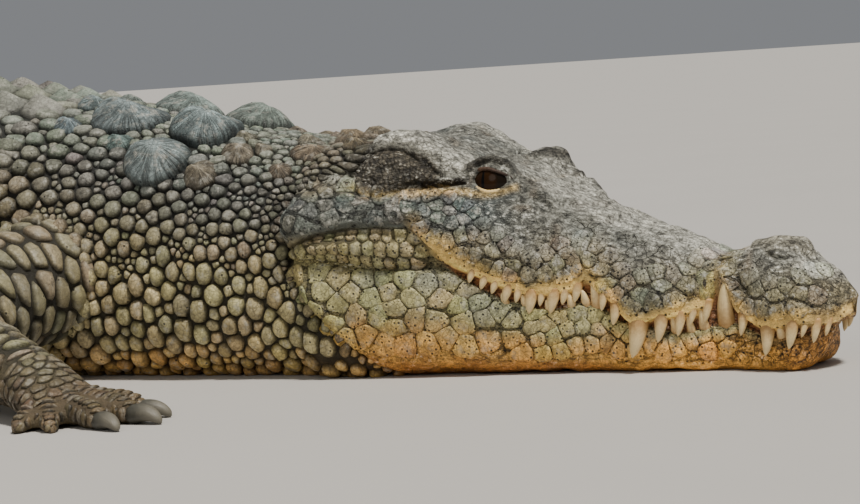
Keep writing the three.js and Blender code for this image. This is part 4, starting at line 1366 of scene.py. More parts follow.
@dataclass
class Coat:
    """Many scales of one kind, joined into one mesh."""

    name: str
    sheet: Sheet
    seeds: Seeds
    shape: ScaleShape
    colour: Callable[[Array, Array, Array], Array]
    surface: BVHTree
    seed: int = 5
    pale_keel: float = 0.0
    tolerance: float = 6.0
    vary: float = 0.17
    melt: bool = False

    def outlines(self, point: Array, first: Array, second: Array) -> Array:
        """Distance to each scale's rim in every direction, from its neighbours.

        Args:
            point: Middles of the scales.
            first: Directions along the sheet.
            second: Directions around it.

        Returns:
            Distances, as scales by directions.
        """
        seeds, shape = self.seeds, self.shape
        table = neighbours(point, 12)
        a, b = offsets(point, first, second, seeds.stretch, table)
        distance = np.sqrt(a * a + b * b)
        share = seeds.size[:, None] / (seeds.size[:, None] + seeds.size[table])
        reach = np.maximum(distance * share - 0.5 * shape.gap, 0.12 * seeds.size[:, None])
        reach = np.where(distance < 1e-3, 1e6, reach)
        unit_a, unit_b = a / np.maximum(distance, 1e-6), b / np.maximum(distance, 1e-6)
        angle = np.arange(shape.directions) * 2 * np.pi / shape.directions
        facing = unit_a[..., None] * np.cos(angle) + unit_b[..., None] * np.sin(angle)
        term = np.clip(facing / reach[..., None], 0.0, None) ** shape.square
        limit = (1.0 / (shape.limit * seeds.size[:, None])) ** shape.square
        return (term.sum(axis=1) + limit) ** (-1.0 / shape.square)

    def settle(self) -> None:
        """Drops the scales that other parts of the body cover and finds how the skin lies under the rest."""
        point = self.sheet.frame(self.seeds.u, self.seeds.v)[0]
        metres = Place.metres(point)
        shift = np.zeros_like(point)
        keep = np.ones(len(point), dtype=bool)
        for i, place in enumerate(metres.tolist()):
            near, normal, _, distance = self.surface.find_nearest(place)
            depth = (Vector(place) - near).dot(normal) / MM
            keep[i] = depth > -self.tolerance and distance < (8.0 + self.tolerance) * MM
            shift[i] = (np.array(near) - metres[i]) / MM
        self.seeds, self.shift = self.seeds.keep(keep), shift[keep]

    def build(self) -> bpy.types.Object:
        """Makes the joined mesh.

        Returns:
            The object, with its colours, rims and bake map.
        """
        self.settle()
        rng = np.random.default_rng(self.seed)
        seeds, shape, sheet = self.seeds, self.shape, self.sheet
        point, _, first, second, length, width, shear = sheet.frame(seeds.u, seeds.v)
        radii = self.outlines(point, first, second)
        count, k = radii.shape
        angle = np.arange(k) * 2 * np.pi / k
        rho = np.array([level[0] for level in shape.levels])
        rise = np.array([level[1] for level in shape.levels])
        tall = np.sqrt(seeds.stretch)
        grow, tall = radii[:, None, :] * rho[None, :, None], tall[:, None, None]
        middle = np.zeros((count, 1))
        a = np.concatenate([(grow * np.cos(angle) / tall).reshape(count, -1), middle], axis=1)
        b = np.concatenate([(grow * np.sin(angle) * tall).reshape(count, -1), middle], axis=1)
        level = np.concatenate([np.repeat(rise, k), [1.0]])[None, :]
        inner = np.concatenate([np.repeat(rho, k), [0.0]])[None, :]
        half = radii.mean(axis=1)[:, None]
        top = np.minimum(shape.height * half, shape.most) * rng.uniform(0.85, 1.15, (count, 1))
        h = level * top
        ramp = 0.35 + 0.65 * smooth(-1, 0.7, a / half)
        h += shape.keel * half * np.exp(-((b / half / shape.keel_width) ** 2)) * ramp * (1.0 - inner**4)
        h += shape.tilt * a * smooth(0, 0.5, level)
        h = h - shape.sink * (inner >= 0.999)
        if shape.rough:
            h += shape.rough * rng.normal(0.0, 1.0, h.shape) * (inner < 0.9)
        du = a / length[:, None]
        dv = (b - du * shear[:, None]) / width[:, None]
        u, v = seeds.u[:, None] + du, seeds.v[:, None] + dv
        place, normal = sheet.frame(u, v)[:2]
        place = place + self.shift[:, None] + normal * h[..., None]
        place[..., 2] = np.maximum(place[..., 2], 0.15)
        obj = joined_mesh(self.name, place, cap_faces(k, len(shape.levels)))
        tone = self.colour(place, u, v) if self.melt else self.colour(point, seeds.u, seeds.v)[:, None, :]
        tone = tone * rng.uniform(1.0 - self.vary, 1.0 + self.vary, (count, 1, 1))
        tone = tone * (1.0 + 0.05 * rng.normal(0.0, 1.0, (count, 1, 3)) * np.array([1.0, 0.6, -0.8]))
        tone = np.broadcast_to(tone, place.shape)
        if self.pale_keel:
            crest = np.exp(-((b / half / 0.22) ** 2)) * (inner < 0.8)
            tone = tone * (1.0 + self.pale_keel * crest[..., None])
        rim = np.broadcast_to(1.0 - smooth(0, 1, level), place.shape[:2])
        marking = np.concatenate([np.clip(tone, 0, 1), rim[..., None]], axis=-1)
        set_point_colours(obj, "Marking", marking.reshape(-1, 4))
        scale = PATCH / np.maximum(np.abs(np.stack([a, b])).max(axis=(0, 2)), 1e-3)
        patch = np.stack([a, b], axis=-1) * scale[:, None, None]
        chart = np.clip(sheet.chart(seeds.u, seeds.v)[:, None] + patch, 0.0, 1.0)
        set_uv(obj, "OFBake", chart.reshape(-1, 2))
        set_uv(obj, "Scale", np.stack([a / half, b / half], axis=-1).reshape(-1, 2))
        return obj


# ---------------------------------------------------------------- materials
Value = "Wire | float | tuple[float, ...]"


class Wire:
    """A node's output that takes part in Python expressions."""

    def __init__(self, graph: "Graph", socket: bpy.types.NodeSocket) -> None:
        """Keeps the socket and the graph that it belongs to."""
        self.graph, self.socket = graph, socket

    def math(self, operation: str, *values: Value) -> "Wire":
        """A Math node on this value and others."""
        return self.graph.node("ShaderNodeMath", {"operation": operation}, dict(enumerate((self, *values))))

    def __add__(self, other: Value) -> "Wire":
        """Sum."""
        return self.math("ADD", other)

    def __sub__(self, other: Value) -> "Wire":
        """Difference."""
        return self.math("SUBTRACT", other)

    def __rsub__(self, other: float) -> "Wire":
        """Difference from a number."""
        return self.graph.node("ShaderNodeMath", {"operation": "SUBTRACT"}, {0: other, 1: self})

    def __mul__(self, other: Value) -> "Wire":
        """Product."""
        return self.math("MULTIPLY", other)

    def __pow__(self, other: Value) -> "Wire":
        """Power."""
        return self.math("POWER", other)

    __radd__ = __add__
    __rmul__ = __mul__

    def step(self, low: float, high: float) -> "Wire":
        """Smooth step from 0 at low to 1 at high."""
        flip = low > high
        ends = {1: min(low, high), 2: max(low, high), 3: float(flip), 4: float(not flip)}
        return self.graph.node("ShaderNodeMapRange", {"interpolation_type": "SMOOTHSTEP"}, {0: self, **ends})


class Graph:
    """A material's nodes."""

    def __init__(self, name: str) -> None:
        """Starts a material with its shader."""
        self.material = bpy.data.materials.new(name)
        self.material.use_nodes = True
        self.tree = self.material.node_tree
        self.shader = self.tree.nodes["Principled BSDF"]

    def node(
        self, kind: str, settings: dict[str, object], inputs: dict[int | str, Value], output: int | str = 0
    ) -> Wire:
        """Any node.

        Args:
            kind: The node's type.
            settings: Its settings, set before its sockets.
            inputs: Values or wires by socket.
            output: Which output is returned.

        Returns:
            The output as a wire.
        """
        made = self.tree.nodes.new(kind)
        for key, value in settings.items():
            setattr(made, key, value)
        for key, value in inputs.items():
            if isinstance(value, Wire):
                self.tree.links.new(value.socket, made.inputs[key])
            else:
                made.inputs[key].default_value = value
        return Wire(self, made.outputs[output])

    def place(self) -> Wire:
        """Object coordinates."""
        return self.node("ShaderNodeTexCoord", {}, {}, "Object")

    def attribute(self, name: str, output: str = "Color") -> Wire:
        """A value stored on the mesh."""
        return self.node("ShaderNodeAttribute", {"attribute_name": name}, {}, output)

    def chart(self, name: str) -> tuple[Wire, Wire]:
        """Both coordinates of a UV map."""
        first = self.node("ShaderNodeSeparateXYZ", {}, {0: self.node("ShaderNodeUVMap", {"uv_map": name}, {})})
        return first, Wire(self, first.socket.node.outputs[1])

    def joined(self, x: Value, y: Value, z: Value) -> Wire:
        """A place from three numbers."""
        return self.node("ShaderNodeCombineXYZ", {}, {0: x, 1: y, 2: z})

    def noise(self, place: Wire, scale: float, detail: float = 3.0, rough: float = 0.55) -> Wire:
        """Noise from 0 to 1."""
        inputs = {"Vector": place, "Scale": scale, "Detail": detail, "Roughness": rough}
        return self.node("ShaderNodeTexNoise", {}, inputs)

    def cells(self, place: Wire, scale: float, feature: str = "DISTANCE_TO_EDGE", output: str = "Distance") -> Wire:
        """Distance in a pattern of cells."""
        return self.node("ShaderNodeTexVoronoi", {"feature": feature}, {"Vector": place, "Scale": scale}, output)

    def blend(self, a: Value, b: Value, factor: Value) -> Wire:
        """Mix of two colours."""
        return self.node("ShaderNodeMix", {"data_type": "RGBA"}, {0: factor, 6: a, 7: b}, 2)

    def shaded(self, colour: Value, light: Wire) -> Wire:
        """A colour made darker or lighter by a number."""
        return self.node("ShaderNodeVectorMath", {"operation": "SCALE"}, {0: colour, "Scale": light})

    def warped(self, place: Wire, scale: float, amount: float) -> Wire:
        """Places moved about by noise, so that a pattern on them is uneven."""
        noise = self.node("ShaderNodeTexNoise", {}, {"Vector": place, "Scale": scale, "Detail": 2.0}, "Color")
        move = self.node("ShaderNodeVectorMath", {"operation": "SUBTRACT"}, {0: noise, 1: (0.5, 0.5, 0.5)})
        move = self.node("ShaderNodeVectorMath", {"operation": "SCALE"}, {0: move, "Scale": amount})
        return self.node("ShaderNodeVectorMath", {"operation": "ADD"}, {0: place, 1: move})

    def stretched(self, place: Wire, scale: tuple[float, float, float]) -> Wire:
        """Places drawn out along the axes."""
        return self.node("ShaderNodeMapping", {}, {"Vector": place, "Scale": scale})

    def finish(
        self, links: dict[str, Wire], values: dict[str, Value], height: Wire | None, depth: float
    ) -> bpy.types.Material:
        """Connects the shader.

        Args:
            links: Wires by the shader's socket.
            values: Numbers and colours by the shader's socket.
            height: Relief for the normal, or none.
            depth: Metres of relief for a height of 1.

        Returns:
            The material.
        """
        for key, value in values.items():
            self.shader.inputs[key].default_value = value
        for key, wire in links.items():
            self.tree.links.new(wire.socket, self.shader.inputs[key])
        if height is not None:
            bump = self.node("ShaderNodeBump", {}, {"Height": height, "Distance": depth, "Strength": 1.0}, "Normal")
            self.tree.links.new(bump.socket, self.shader.inputs["Normal"])
        return self.material


@dataclass(frozen=True)
class HideFinish:
    """Cracked, pitted skin."""

    cell: float = 0.016
    crack_shade: float = 0.7

    def material(self) -> bpy.types.Material:
        """The skin's material."""
        g = Graph("hide")
        place = g.place()
        split = g.node("ShaderNodeSeparateColor", {}, {0: g.attribute("Areas")})
        cracked, pitted, grainy = (Wire(g, split.socket.node.outputs[i]) for i in range(3))
        covered = g.attribute("Marking", "Alpha")
        edge = g.cells(g.warped(place, 55, 0.012), 1.0 / self.cell)
        patch = g.noise(place, 24, 2).step(0.36, 0.6) * 0.75 + 0.25
        crack = edge.step(0.042, 0) * cracked * patch
        pillow = edge.step(0, 0.32) * cracked
        fine = g.cells(g.warped(place, 160, 0.005), 3.1 / self.cell).step(0.10, 0) * (cracked * 0.8 + 0.2)
        dots = g.cells(place, 172, "F1")
        pit = dots.step(0.27, 0.17) * g.noise(place, 120, 1).step(0.40, 0.46) * pitted
        grains = g.cells(place, 260, "F1").step(0.2, 0.7) * grainy
        mottle = g.noise(place, 34, 5, 0.7)
        small = g.noise(g.stretched(place, (0.55, 1.0, 1.15)), 200, 5, 0.75)
        crisp = small.step(0.36, 0.66)
        grain = g.noise(place, 620, 3, 0.7)
        # painted highlight: pale flecks where the fine relief noise peaks, on cracked and grainy skin
        fleck = small.step(0.54, 0.64) * g.noise(place, 30, 2).step(0.40, 0.62) * (cracked * 0.8 + grainy * 0.5)
        colour = g.shaded(g.attribute("Marking"), mottle * 1.1 + 0.45)
        colour = g.blend(colour, (0.66, 0.66, 0.60, 1.0), fleck * 0.75)
        shade = (1.0 - crack * self.crack_shade) * (1.0 - fine * 0.36) * (1.0 - pit * 0.88) * (1.0 - grains * 0.6)
        # painted light and shade: the fine noise that raises the bump also lightens the colour on the relief's peaks
        # and darkens it in its valleys. Skin away from the cracks is also made brighter.
        wear_and_relief_light = (crisp * 1.6 - 0.74) * (cracked * 0.7 + grainy * 0.5 + 0.3) + 1.18 - cracked * 0.18
        shade = shade * (grain * 0.9 + 0.55) * wear_and_relief_light
        # painted shade: the skin is darkened by up to 93% where the coat covers it, so the gaps between scales read
        # dark
        colour = g.shaded(colour, shade * (1.0 - covered * 0.93))
        height = pillow * 0.45 - crack * 0.8 - fine * 0.4 - pit * 0.7 - grains * 0.9
        height = height + mottle * 0.6 + small * 1.5 + grain * 0.3
        rough = mottle * 0.25 + 0.45
        return g.finish({"Base Color": colour, "Roughness": rough}, {"Specular IOR Level": 0.45}, height, 0.0024)


@dataclass(frozen=True)
class ScaleFinish:
    """Horny scales: dark round the rim, rubbed pale and mottled on top."""

    name: str = "scales"
    striation: float = 0.0
    wear: float = 0.3
    pits: float = 105.0
    pitted: float = 0.46
    rim_shade: float = 0.86
    contrast: float = 1.0

    def material(self) -> bpy.types.Material:
        """The scales' material."""
        g = Graph(self.name)
        place = g.place()
        rim = g.attribute("Marking", "Alpha")
        mottle = g.noise(place, 130, 4, 0.65)
        grain = g.noise(place, 700, 3, 0.7)
        crack = g.cells(g.warped(place, 160, 0.004), 210).step(0.09, 0)
        dots = g.cells(place, self.pits, "F1")
        chosen = g.noise(place, 60, 1).step(self.pitted, self.pitted + 0.06)
        pit = dots.step(0.0014 * self.pits, 0.0008 * self.pits) * chosen
        halo = dots.step(0.0011 * self.pits, 0.0017 * self.pits)
        halo = halo * dots.step(0.003 * self.pits, 0.0022 * self.pits) * chosen
        stain = g.noise(place, 75, 4, 0.7).step(0.58, 0.70) * g.noise(place, 17, 2).step(0.42, 0.58)
        height = mottle * 0.6 + grain * 0.25 - crack * 0.3 - pit * 0.6
        shade = ((mottle - 0.5) * (1.5 * self.contrast) + 1.02) * ((grain - 0.5) * (0.6 * self.contrast) + 1.0)
        shade = shade * (1.0 - crack * 0.26) * (1.0 - pit * 0.85) * (1.0 - stain * 0.62) * (halo * 0.3 + 1.0)
        if self.striation:
            a, b = g.chart("Scale")
            radius = (a * a + b * b) ** 0.5
            turn = b.math("ARCTAN2", a)
            ahead = g.node("ShaderNodeSeparateXYZ", {}, {0: place})
            ray = g.joined(turn * 9.0, radius * 0.9, ahead * 40.0)
            line = g.noise(ray, 1, 3, 0.6).step(0.35, 0.65)
            height = height + line * (radius.step(0.1, 0.5) * self.striation)
            shade = shade * (line * 0.9 + 0.5)
        colour = g.shaded(g.attribute("Marking"), shade)
        wear_and_relief_light = g.noise(place, 95, 3, 0.7).step(0.5, 0.68) * (1.0 - rim) * self.wear
        colour = g.blend(colour, (0.47, 0.46, 0.40, 1.0), wear_and_relief_light)
        colour = g.shaded(colour, 1.0 - (rim ** 0.8) * self.rim_shade)
        rough = mottle * 0.2 + 0.42
        links = {"Base Color": colour, "Roughness": rough}
        return g.finish(links, {"Specular IOR Level": 0.45}, height, 0.0011 * self.contrast)


@dataclass(frozen=True)
class HornFinish:
    """Enamel, claw horn and lid skin: a long grain, darker at the root."""

    name: str
    root: tuple[float, float, float]
    tip: tuple[float, float, float]
    rough: float
    grain: float = 0.4

    def material(self) -> bpy.types.Material:
        """The horn's material."""
        g = Graph(self.name)
        along, around = g.chart("Along")
        lines = g.noise(g.joined(along * 2.5, around * 26.0, 0.3), 1, 3)
        spots = g.noise(g.place(), 240, 3, 0.7)
        rise = (along + (spots - 0.5) * 0.35).step(0.05, 0.7)
        colour = g.blend((*paint(*self.root), 1.0), (*paint(*self.tip), 1.0), rise)
        colour = g.shaded(colour, (lines * self.grain + 1.0 - 0.5 * self.grain) * (spots * 0.3 + 0.85))
        links = {"Base Color": colour, "Roughness": spots * 0.2 + self.rough}
        return g.finish(links, {"Coat Roughness": 0.2}, lines + spots * 0.4, 0.0005)


@dataclass(frozen=True)
class EyeFinish:
    """Dark brown iris with a standing slit."""

    name: str = "eye_glaze"

    def material(self) -> bpy.types.Material:
        """The eyeball's material."""
        g = Graph(self.name)
        x, y = g.chart("Gaze")
        radius = (x * x + y * y) ** 0.5
        slit = (x.math("ABSOLUTE") + (y * y) * 0.16).step(0.13, 0.09) * y.math("ABSOLUTE").step(0.72, 0.6)
        ray = g.noise(g.joined(y.math("ARCTAN2", x) * 9.0, radius * 2.0, 0.1), 1, 4)
        iris = g.blend((*paint(26, 15, 6), 1.0), (*paint(50, 31, 13), 1.0), ray)
        iris = g.blend(iris, (*paint(26, 20, 14), 1.0), radius.step(0.7, 1))
        colour = g.blend(iris, (0.003, 0.003, 0.003, 1.0), slit)
        values = {"Coat Weight": 0.0, "Roughness": 0.14, "Specular IOR Level": 0.12}
        return g.finish({"Base Color": colour}, values, None, 0.0)


# ---------------------------------------------------------------- hard pieces
@dataclass
class Horns:
    """Curved cones joined into one mesh: teeth or claws."""

    name: str
    sides: int = 12
    rings: int = 9

    def cones(
        self, roots: Array, bends: Array, tips: Array, radii: Array, flat: float, power: float
    ) -> bpy.types.Object:
        """Makes the joined mesh.

        Args:
            roots: Where the cones start, count by 3, in millimetres.
            bends: Middle control points.
            tips: Points.
            radii: Radius at each root.
            flat: Height of a cone's section for a width of 1.
            power: How bluntly the cones end.

        Returns:
            The object, with a map of length and turn on it.
        """
        u = np.linspace(0.0, 1.0, self.rings)
        places = []
        for root, bend, tip, radius in zip(roots, bends, tips, radii):
            path = (1 - u)[:, None] ** 2 * root + 2 * (u * (1 - u))[:, None] * bend + u[:, None] ** 2 * tip
            width = radius * np.maximum(1 - u, 0.004) ** power
            lean = np.array([0.3, 1.0, 0.2]) if abs(tip[2] - root[2]) > np.hypot(*(tip - root)[:2]) else None
            rings = tube_rings(path, width, width * flat, self.sides, lean)
            place = np.vstack([rings.reshape(-1, 3), tip, root])
            place[:, 2] = np.maximum(place[:, 2], 0.2)
            places.append(place)
        k, n = self.sides, self.rings * self.sides
        faces = cap_faces(k, self.rings) + [((i + 1) % k, i, n + 1) for i in range(k)]
        obj = joined_mesh(self.name, np.array(places), faces)
        outward(obj)
        share = np.concatenate([np.repeat(u, k), [1.0, 0.0]])
        turn = np.concatenate([np.tile(np.abs(np.linspace(-1, 1, k)), self.rings), [0.5, 0.5]])
        set_uv(obj, "Along", np.tile(np.stack([share, turn], axis=-1), (len(roots), 1)))
        return obj


def outward(obj: bpy.types.Object) -> None:
    """Turns a mesh's faces outward."""
    bm = bmesh.new()
    bm.from_mesh(obj.data)
    bmesh.ops.recalc_face_normals(bm, faces=bm.faces)
    bm.to_mesh(obj.data)
    bm.free()


@dataclass
class Teeth:
    """The teeth that show along the closed mouth: place, length and radius."""

    head: HeadShape
    upper: tuple[tuple[float, float, float], ...] = (
        (438, 10, 3.2), (429, 16, 4.6), (421, 11, 3.5), (408, 22, 6), (382, 24, 6.6), (357, 16, 4.8), (323, 15, 4.6),
        (311, 13, 4), (298, 18, 5.2), (280, 23, 6.6), (257, 32, 9.2), (236, 16, 5.6), (224, 14, 4.6), (198, 13, 5),
        (186, 11, 4.6), (174, 18, 6.6), (163, 10, 4.2), (152, 17, 6.6), (141, 9, 4.4), (131, 12, 5.4), (120, 8, 4.4),
        (110, 8, 4.4), (98, 7, 4.2),
    )
    lower: tuple[tuple[float, float, float], ...] = (
        (395, 15, 5), (338, 44, 8.2), (317, 20, 5), (305, 17, 4.4), (290, 16, 4.4), (214, 24, 6), (204, 13, 5),
        (190, 14, 5), (168, 9, 4.6), (145, 9, 4.4), (126, 8, 4.2),
    )

    def build(self) -> bpy.types.Object:
        """Makes both rows on both sides."""
        roots, bends, tips, radii = [], [], [], []
        rng = np.random.default_rng(8)
        for row, sign in ((self.upper, -1.0), (self.lower, 1.0)):
            for x, length, radius in row:
                edge = float(self.head.lip_height(x) if sign < 0 else self.head.jaw_height(x))
                width = float(self.head.lip_width(x) if sign < 0 else self.head.jaw_width(x))
                for side in (-1.0, 1.0):
                    turn = rng.uniform(-1.5, 1.5)
                    y = width - (4.8 if sign < 0 else 6.4) - 2.5 * (length > 30)
                    tip_y = width + (0.5 if sign < 0 else 1.6)
                    back = (5.0 if length > 30 else 3.0) + turn
                    if sign > 0:
                        back = -back if x > 330 and length > 40 else back * 0.4
                    root = np.array([x, side * y, edge - sign * 6.0])
                    tip = np.array([x - back, side * tip_y, edge + sign * length])
                    bend = 0.5 * (root + tip) + np.array([0.12 * length * np.sign(back), side * 2.6, 0.0])
                    roots.append(root), bends.append(bend), tips.append(tip), radii.append(radius)
        return Horns("teeth").cones(*(np.array(v) for v in (roots, bends, tips, 1.3 * np.array(radii))), 0.85, 0.52)


class Claws:
    """Blunt curved claws on the inner toes."""

    def build(self, leg: LegShape) -> bpy.types.Object:
        """Claws of one foot."""
        roots, bends, tips, radii = [], [], [], []
        for i in range(leg.clawed):
            path, direction, thick = leg.digit_path(i, 9)
            end = path[-1]
            roots.append(end - 0.5 * thick * direction)
            bends.append(end + 1.2 * thick * direction + np.array([0, 0, 0.5 * thick]))
            tips.append(np.array([end[0], end[1], 1.4]) + 2.1 * thick * direction)
            radii.append(0.84 * thick)
        parts = (np.array(v) for v in (roots, bends, tips, radii))
        return Horns(f"{leg.name}_claws", 14, 12).cones(*parts, 0.9, 0.42)


@dataclass
class Eye:
    """Eyeball with its two lid rims."""

    side: float
    relief: HeadRelief = field(default_factory=HeadRelief)

    def ball(self) -> bpy.types.Object:
        """The eyeball, its pole looking outward."""
        bm = bmesh.new()
        bmesh.ops.create_uvsphere(bm, u_segments=40, v_segments=28, radius=self.relief.ball_radius)
        turn = Matrix.Rotation(-self.side * math.pi / 2, 4, "X")
        gaze = Matrix.Rotation(math.radians(6.0) * -self.side, 4, "Z") @ turn
        bmesh.ops.transform(bm, matrix=gaze, verts=bm.verts)
        local = np.array([v.co[:] for v in bm.verts])
        relief = self.relief
        x, z = EYE_CENTRE[0] + relief.ball_ahead, EYE_CENTRE[2] + relief.ball_rise
        centre = np.array([x, self.side * relief.ball_depth, z])
        for vert, co in zip(bm.verts, Place.metres(local + centre).tolist()):
            vert.co = co
        obj = object_of("eyeball_right" if self.side < 0 else "eyeball_left", bm)
        set_uv(obj, "Gaze", np.stack([(local[:, 0] + 3.0) / 16.0, (local[:, 2] - 2.6) / 16.0], axis=-1))
        return obj

    def rim(self, name: str, reach: float, radius: float, beads: int, low: float, high: float) -> bpy.types.Object:
        """One lid's edge along the opening.

        Args:
            name: The object's name.
            reach: Size of the line for an opening of 1.
            radius: Half-thickness.
            beads: How many beads it has.
            low: Angle at which it starts, in turns from the front corner over the top.
            high: Angle at which it ends.

        Returns:
            The object.
        """
        angle = np.linspace(low, high, 72) * 2 * np.pi
        c, s = np.cos(angle), np.sin(angle)
        dx = np.sign(c) * np.abs(c) ** (2 / ALMOND_POWER) * self.relief.opening[0] * reach
        dz = np.sign(s) * np.abs(s) ** (2 / ALMOND_POWER) * self.relief.opening[1] * reach
        x = self.relief.opening_centre[0] + dx
        z = self.relief.opening_centre[1] + dz + self.relief.opening_tilt * dx / self.relief.opening[0]
        ball = self.relief.ball_radius
        height = z - EYE_CENTRE[2] - self.relief.ball_rise
        across = x - EYE_CENTRE[0] - self.relief.ball_ahead
        deep = np.clip((ball + 0.6 * radius) ** 2 - across**2 - height**2, 120.0, None)
        path = np.stack([x, self.side * (self.relief.ball_depth + np.sqrt(deep)), z], axis=-1)
        share = np.linspace(0, 1, 72)
        ends = np.sin(np.pi * np.clip(share, 0.015, 0.985)) ** 0.35
        width = radius * ends * (1.0 + 0.22 * np.abs(np.sin(share * beads * np.pi)))
        rings = tube_rings(path, width, width, 10, np.array([0.0, self.side, 0.0]))
        obj = object_of(name, grid_bmesh(rings, caps=True))
        turn = np.tile(np.abs(np.linspace(-1, 1, 10)), 72)
        set_uv(obj, "Along", np.stack([np.repeat(share, 10), turn], axis=-1)[: len(obj.data.vertices)])
        return obj


# ---------------------------------------------------------------- the coat's regions
class Kind(Enum):
    """Kinds of scale."""

    PEBBLE = ScaleShape(height=0.72, most=9.0, gap=1.1, sink=2.5, limit=0.88, square=6.5)
    NUCHAL = ScaleShape(height=0.5, most=17.0, keel=0.34, keel_width=0.3, gap=1.0, sink=6.0, directions=28, limit=0.6,
                        square=5.0, rough=0.35,
                        levels=((1.0, 0.0), (0.98, 0.42), (0.9, 0.66), (0.72, 0.84), (0.46, 0.95), (0.2, 1.0)))
    SCUTE = ScaleShape(height=0.26, most=8.0, keel=0.4, keel_width=0.24, gap=2.4, sink=4.0, directions=20, square=14,
                       levels=((1.0, 0.0), (0.97, 0.45), (0.8, 0.75), (0.5, 0.95), (0.2, 1.0)), tilt=0.06)
    FLANK = ScaleShape(height=0.42, most=7.0, keel=0.2, keel_width=0.4, gap=2.6, sink=2.5, tilt=0.08)
    PLATE = ScaleShape(height=0.16, most=2.6, gap=1.5, sink=2.0, square=22.0, limit=0.8,
                       levels=((1.0, 0.0), (0.95, 0.75), (0.6, 1.0)), tilt=0.04)
    BAND = ScaleShape(height=0.22, most=4.0, keel=0.1, gap=2.2, sink=2.5, square=20.0, limit=0.8, tilt=0.1)
    JAW = ScaleShape(height=0.2, most=1.4, gap=0.35, sink=1.5, directions=16, square=30.0, limit=0.9,
                     levels=((1.0, 0.0), (0.95, 0.75), (0.76, 0.95), (0.4, 1.0)))
    SNOUT = ScaleShape(height=0.22, most=1.3, gap=0.3, sink=1.5, directions=14, square=26.0, limit=0.9,
                       levels=((1.0, 0.0), (0.94, 0.75), (0.7, 0.96)))
    CORNER = ScaleShape(height=0.3, most=2.4, gap=0.7, sink=1.5, directions=16, square=16.0, limit=0.8)
    TOE = ScaleShape(height=0.3, most=2.4, gap=0.8, sink=2.0, tilt=0.1, limit=0.9, square=14.0)
    LIMB = ScaleShape(height=0.4, most=5.0, gap=1.5, sink=2.0, tilt=0.2, limit=0.8, square=12.0)


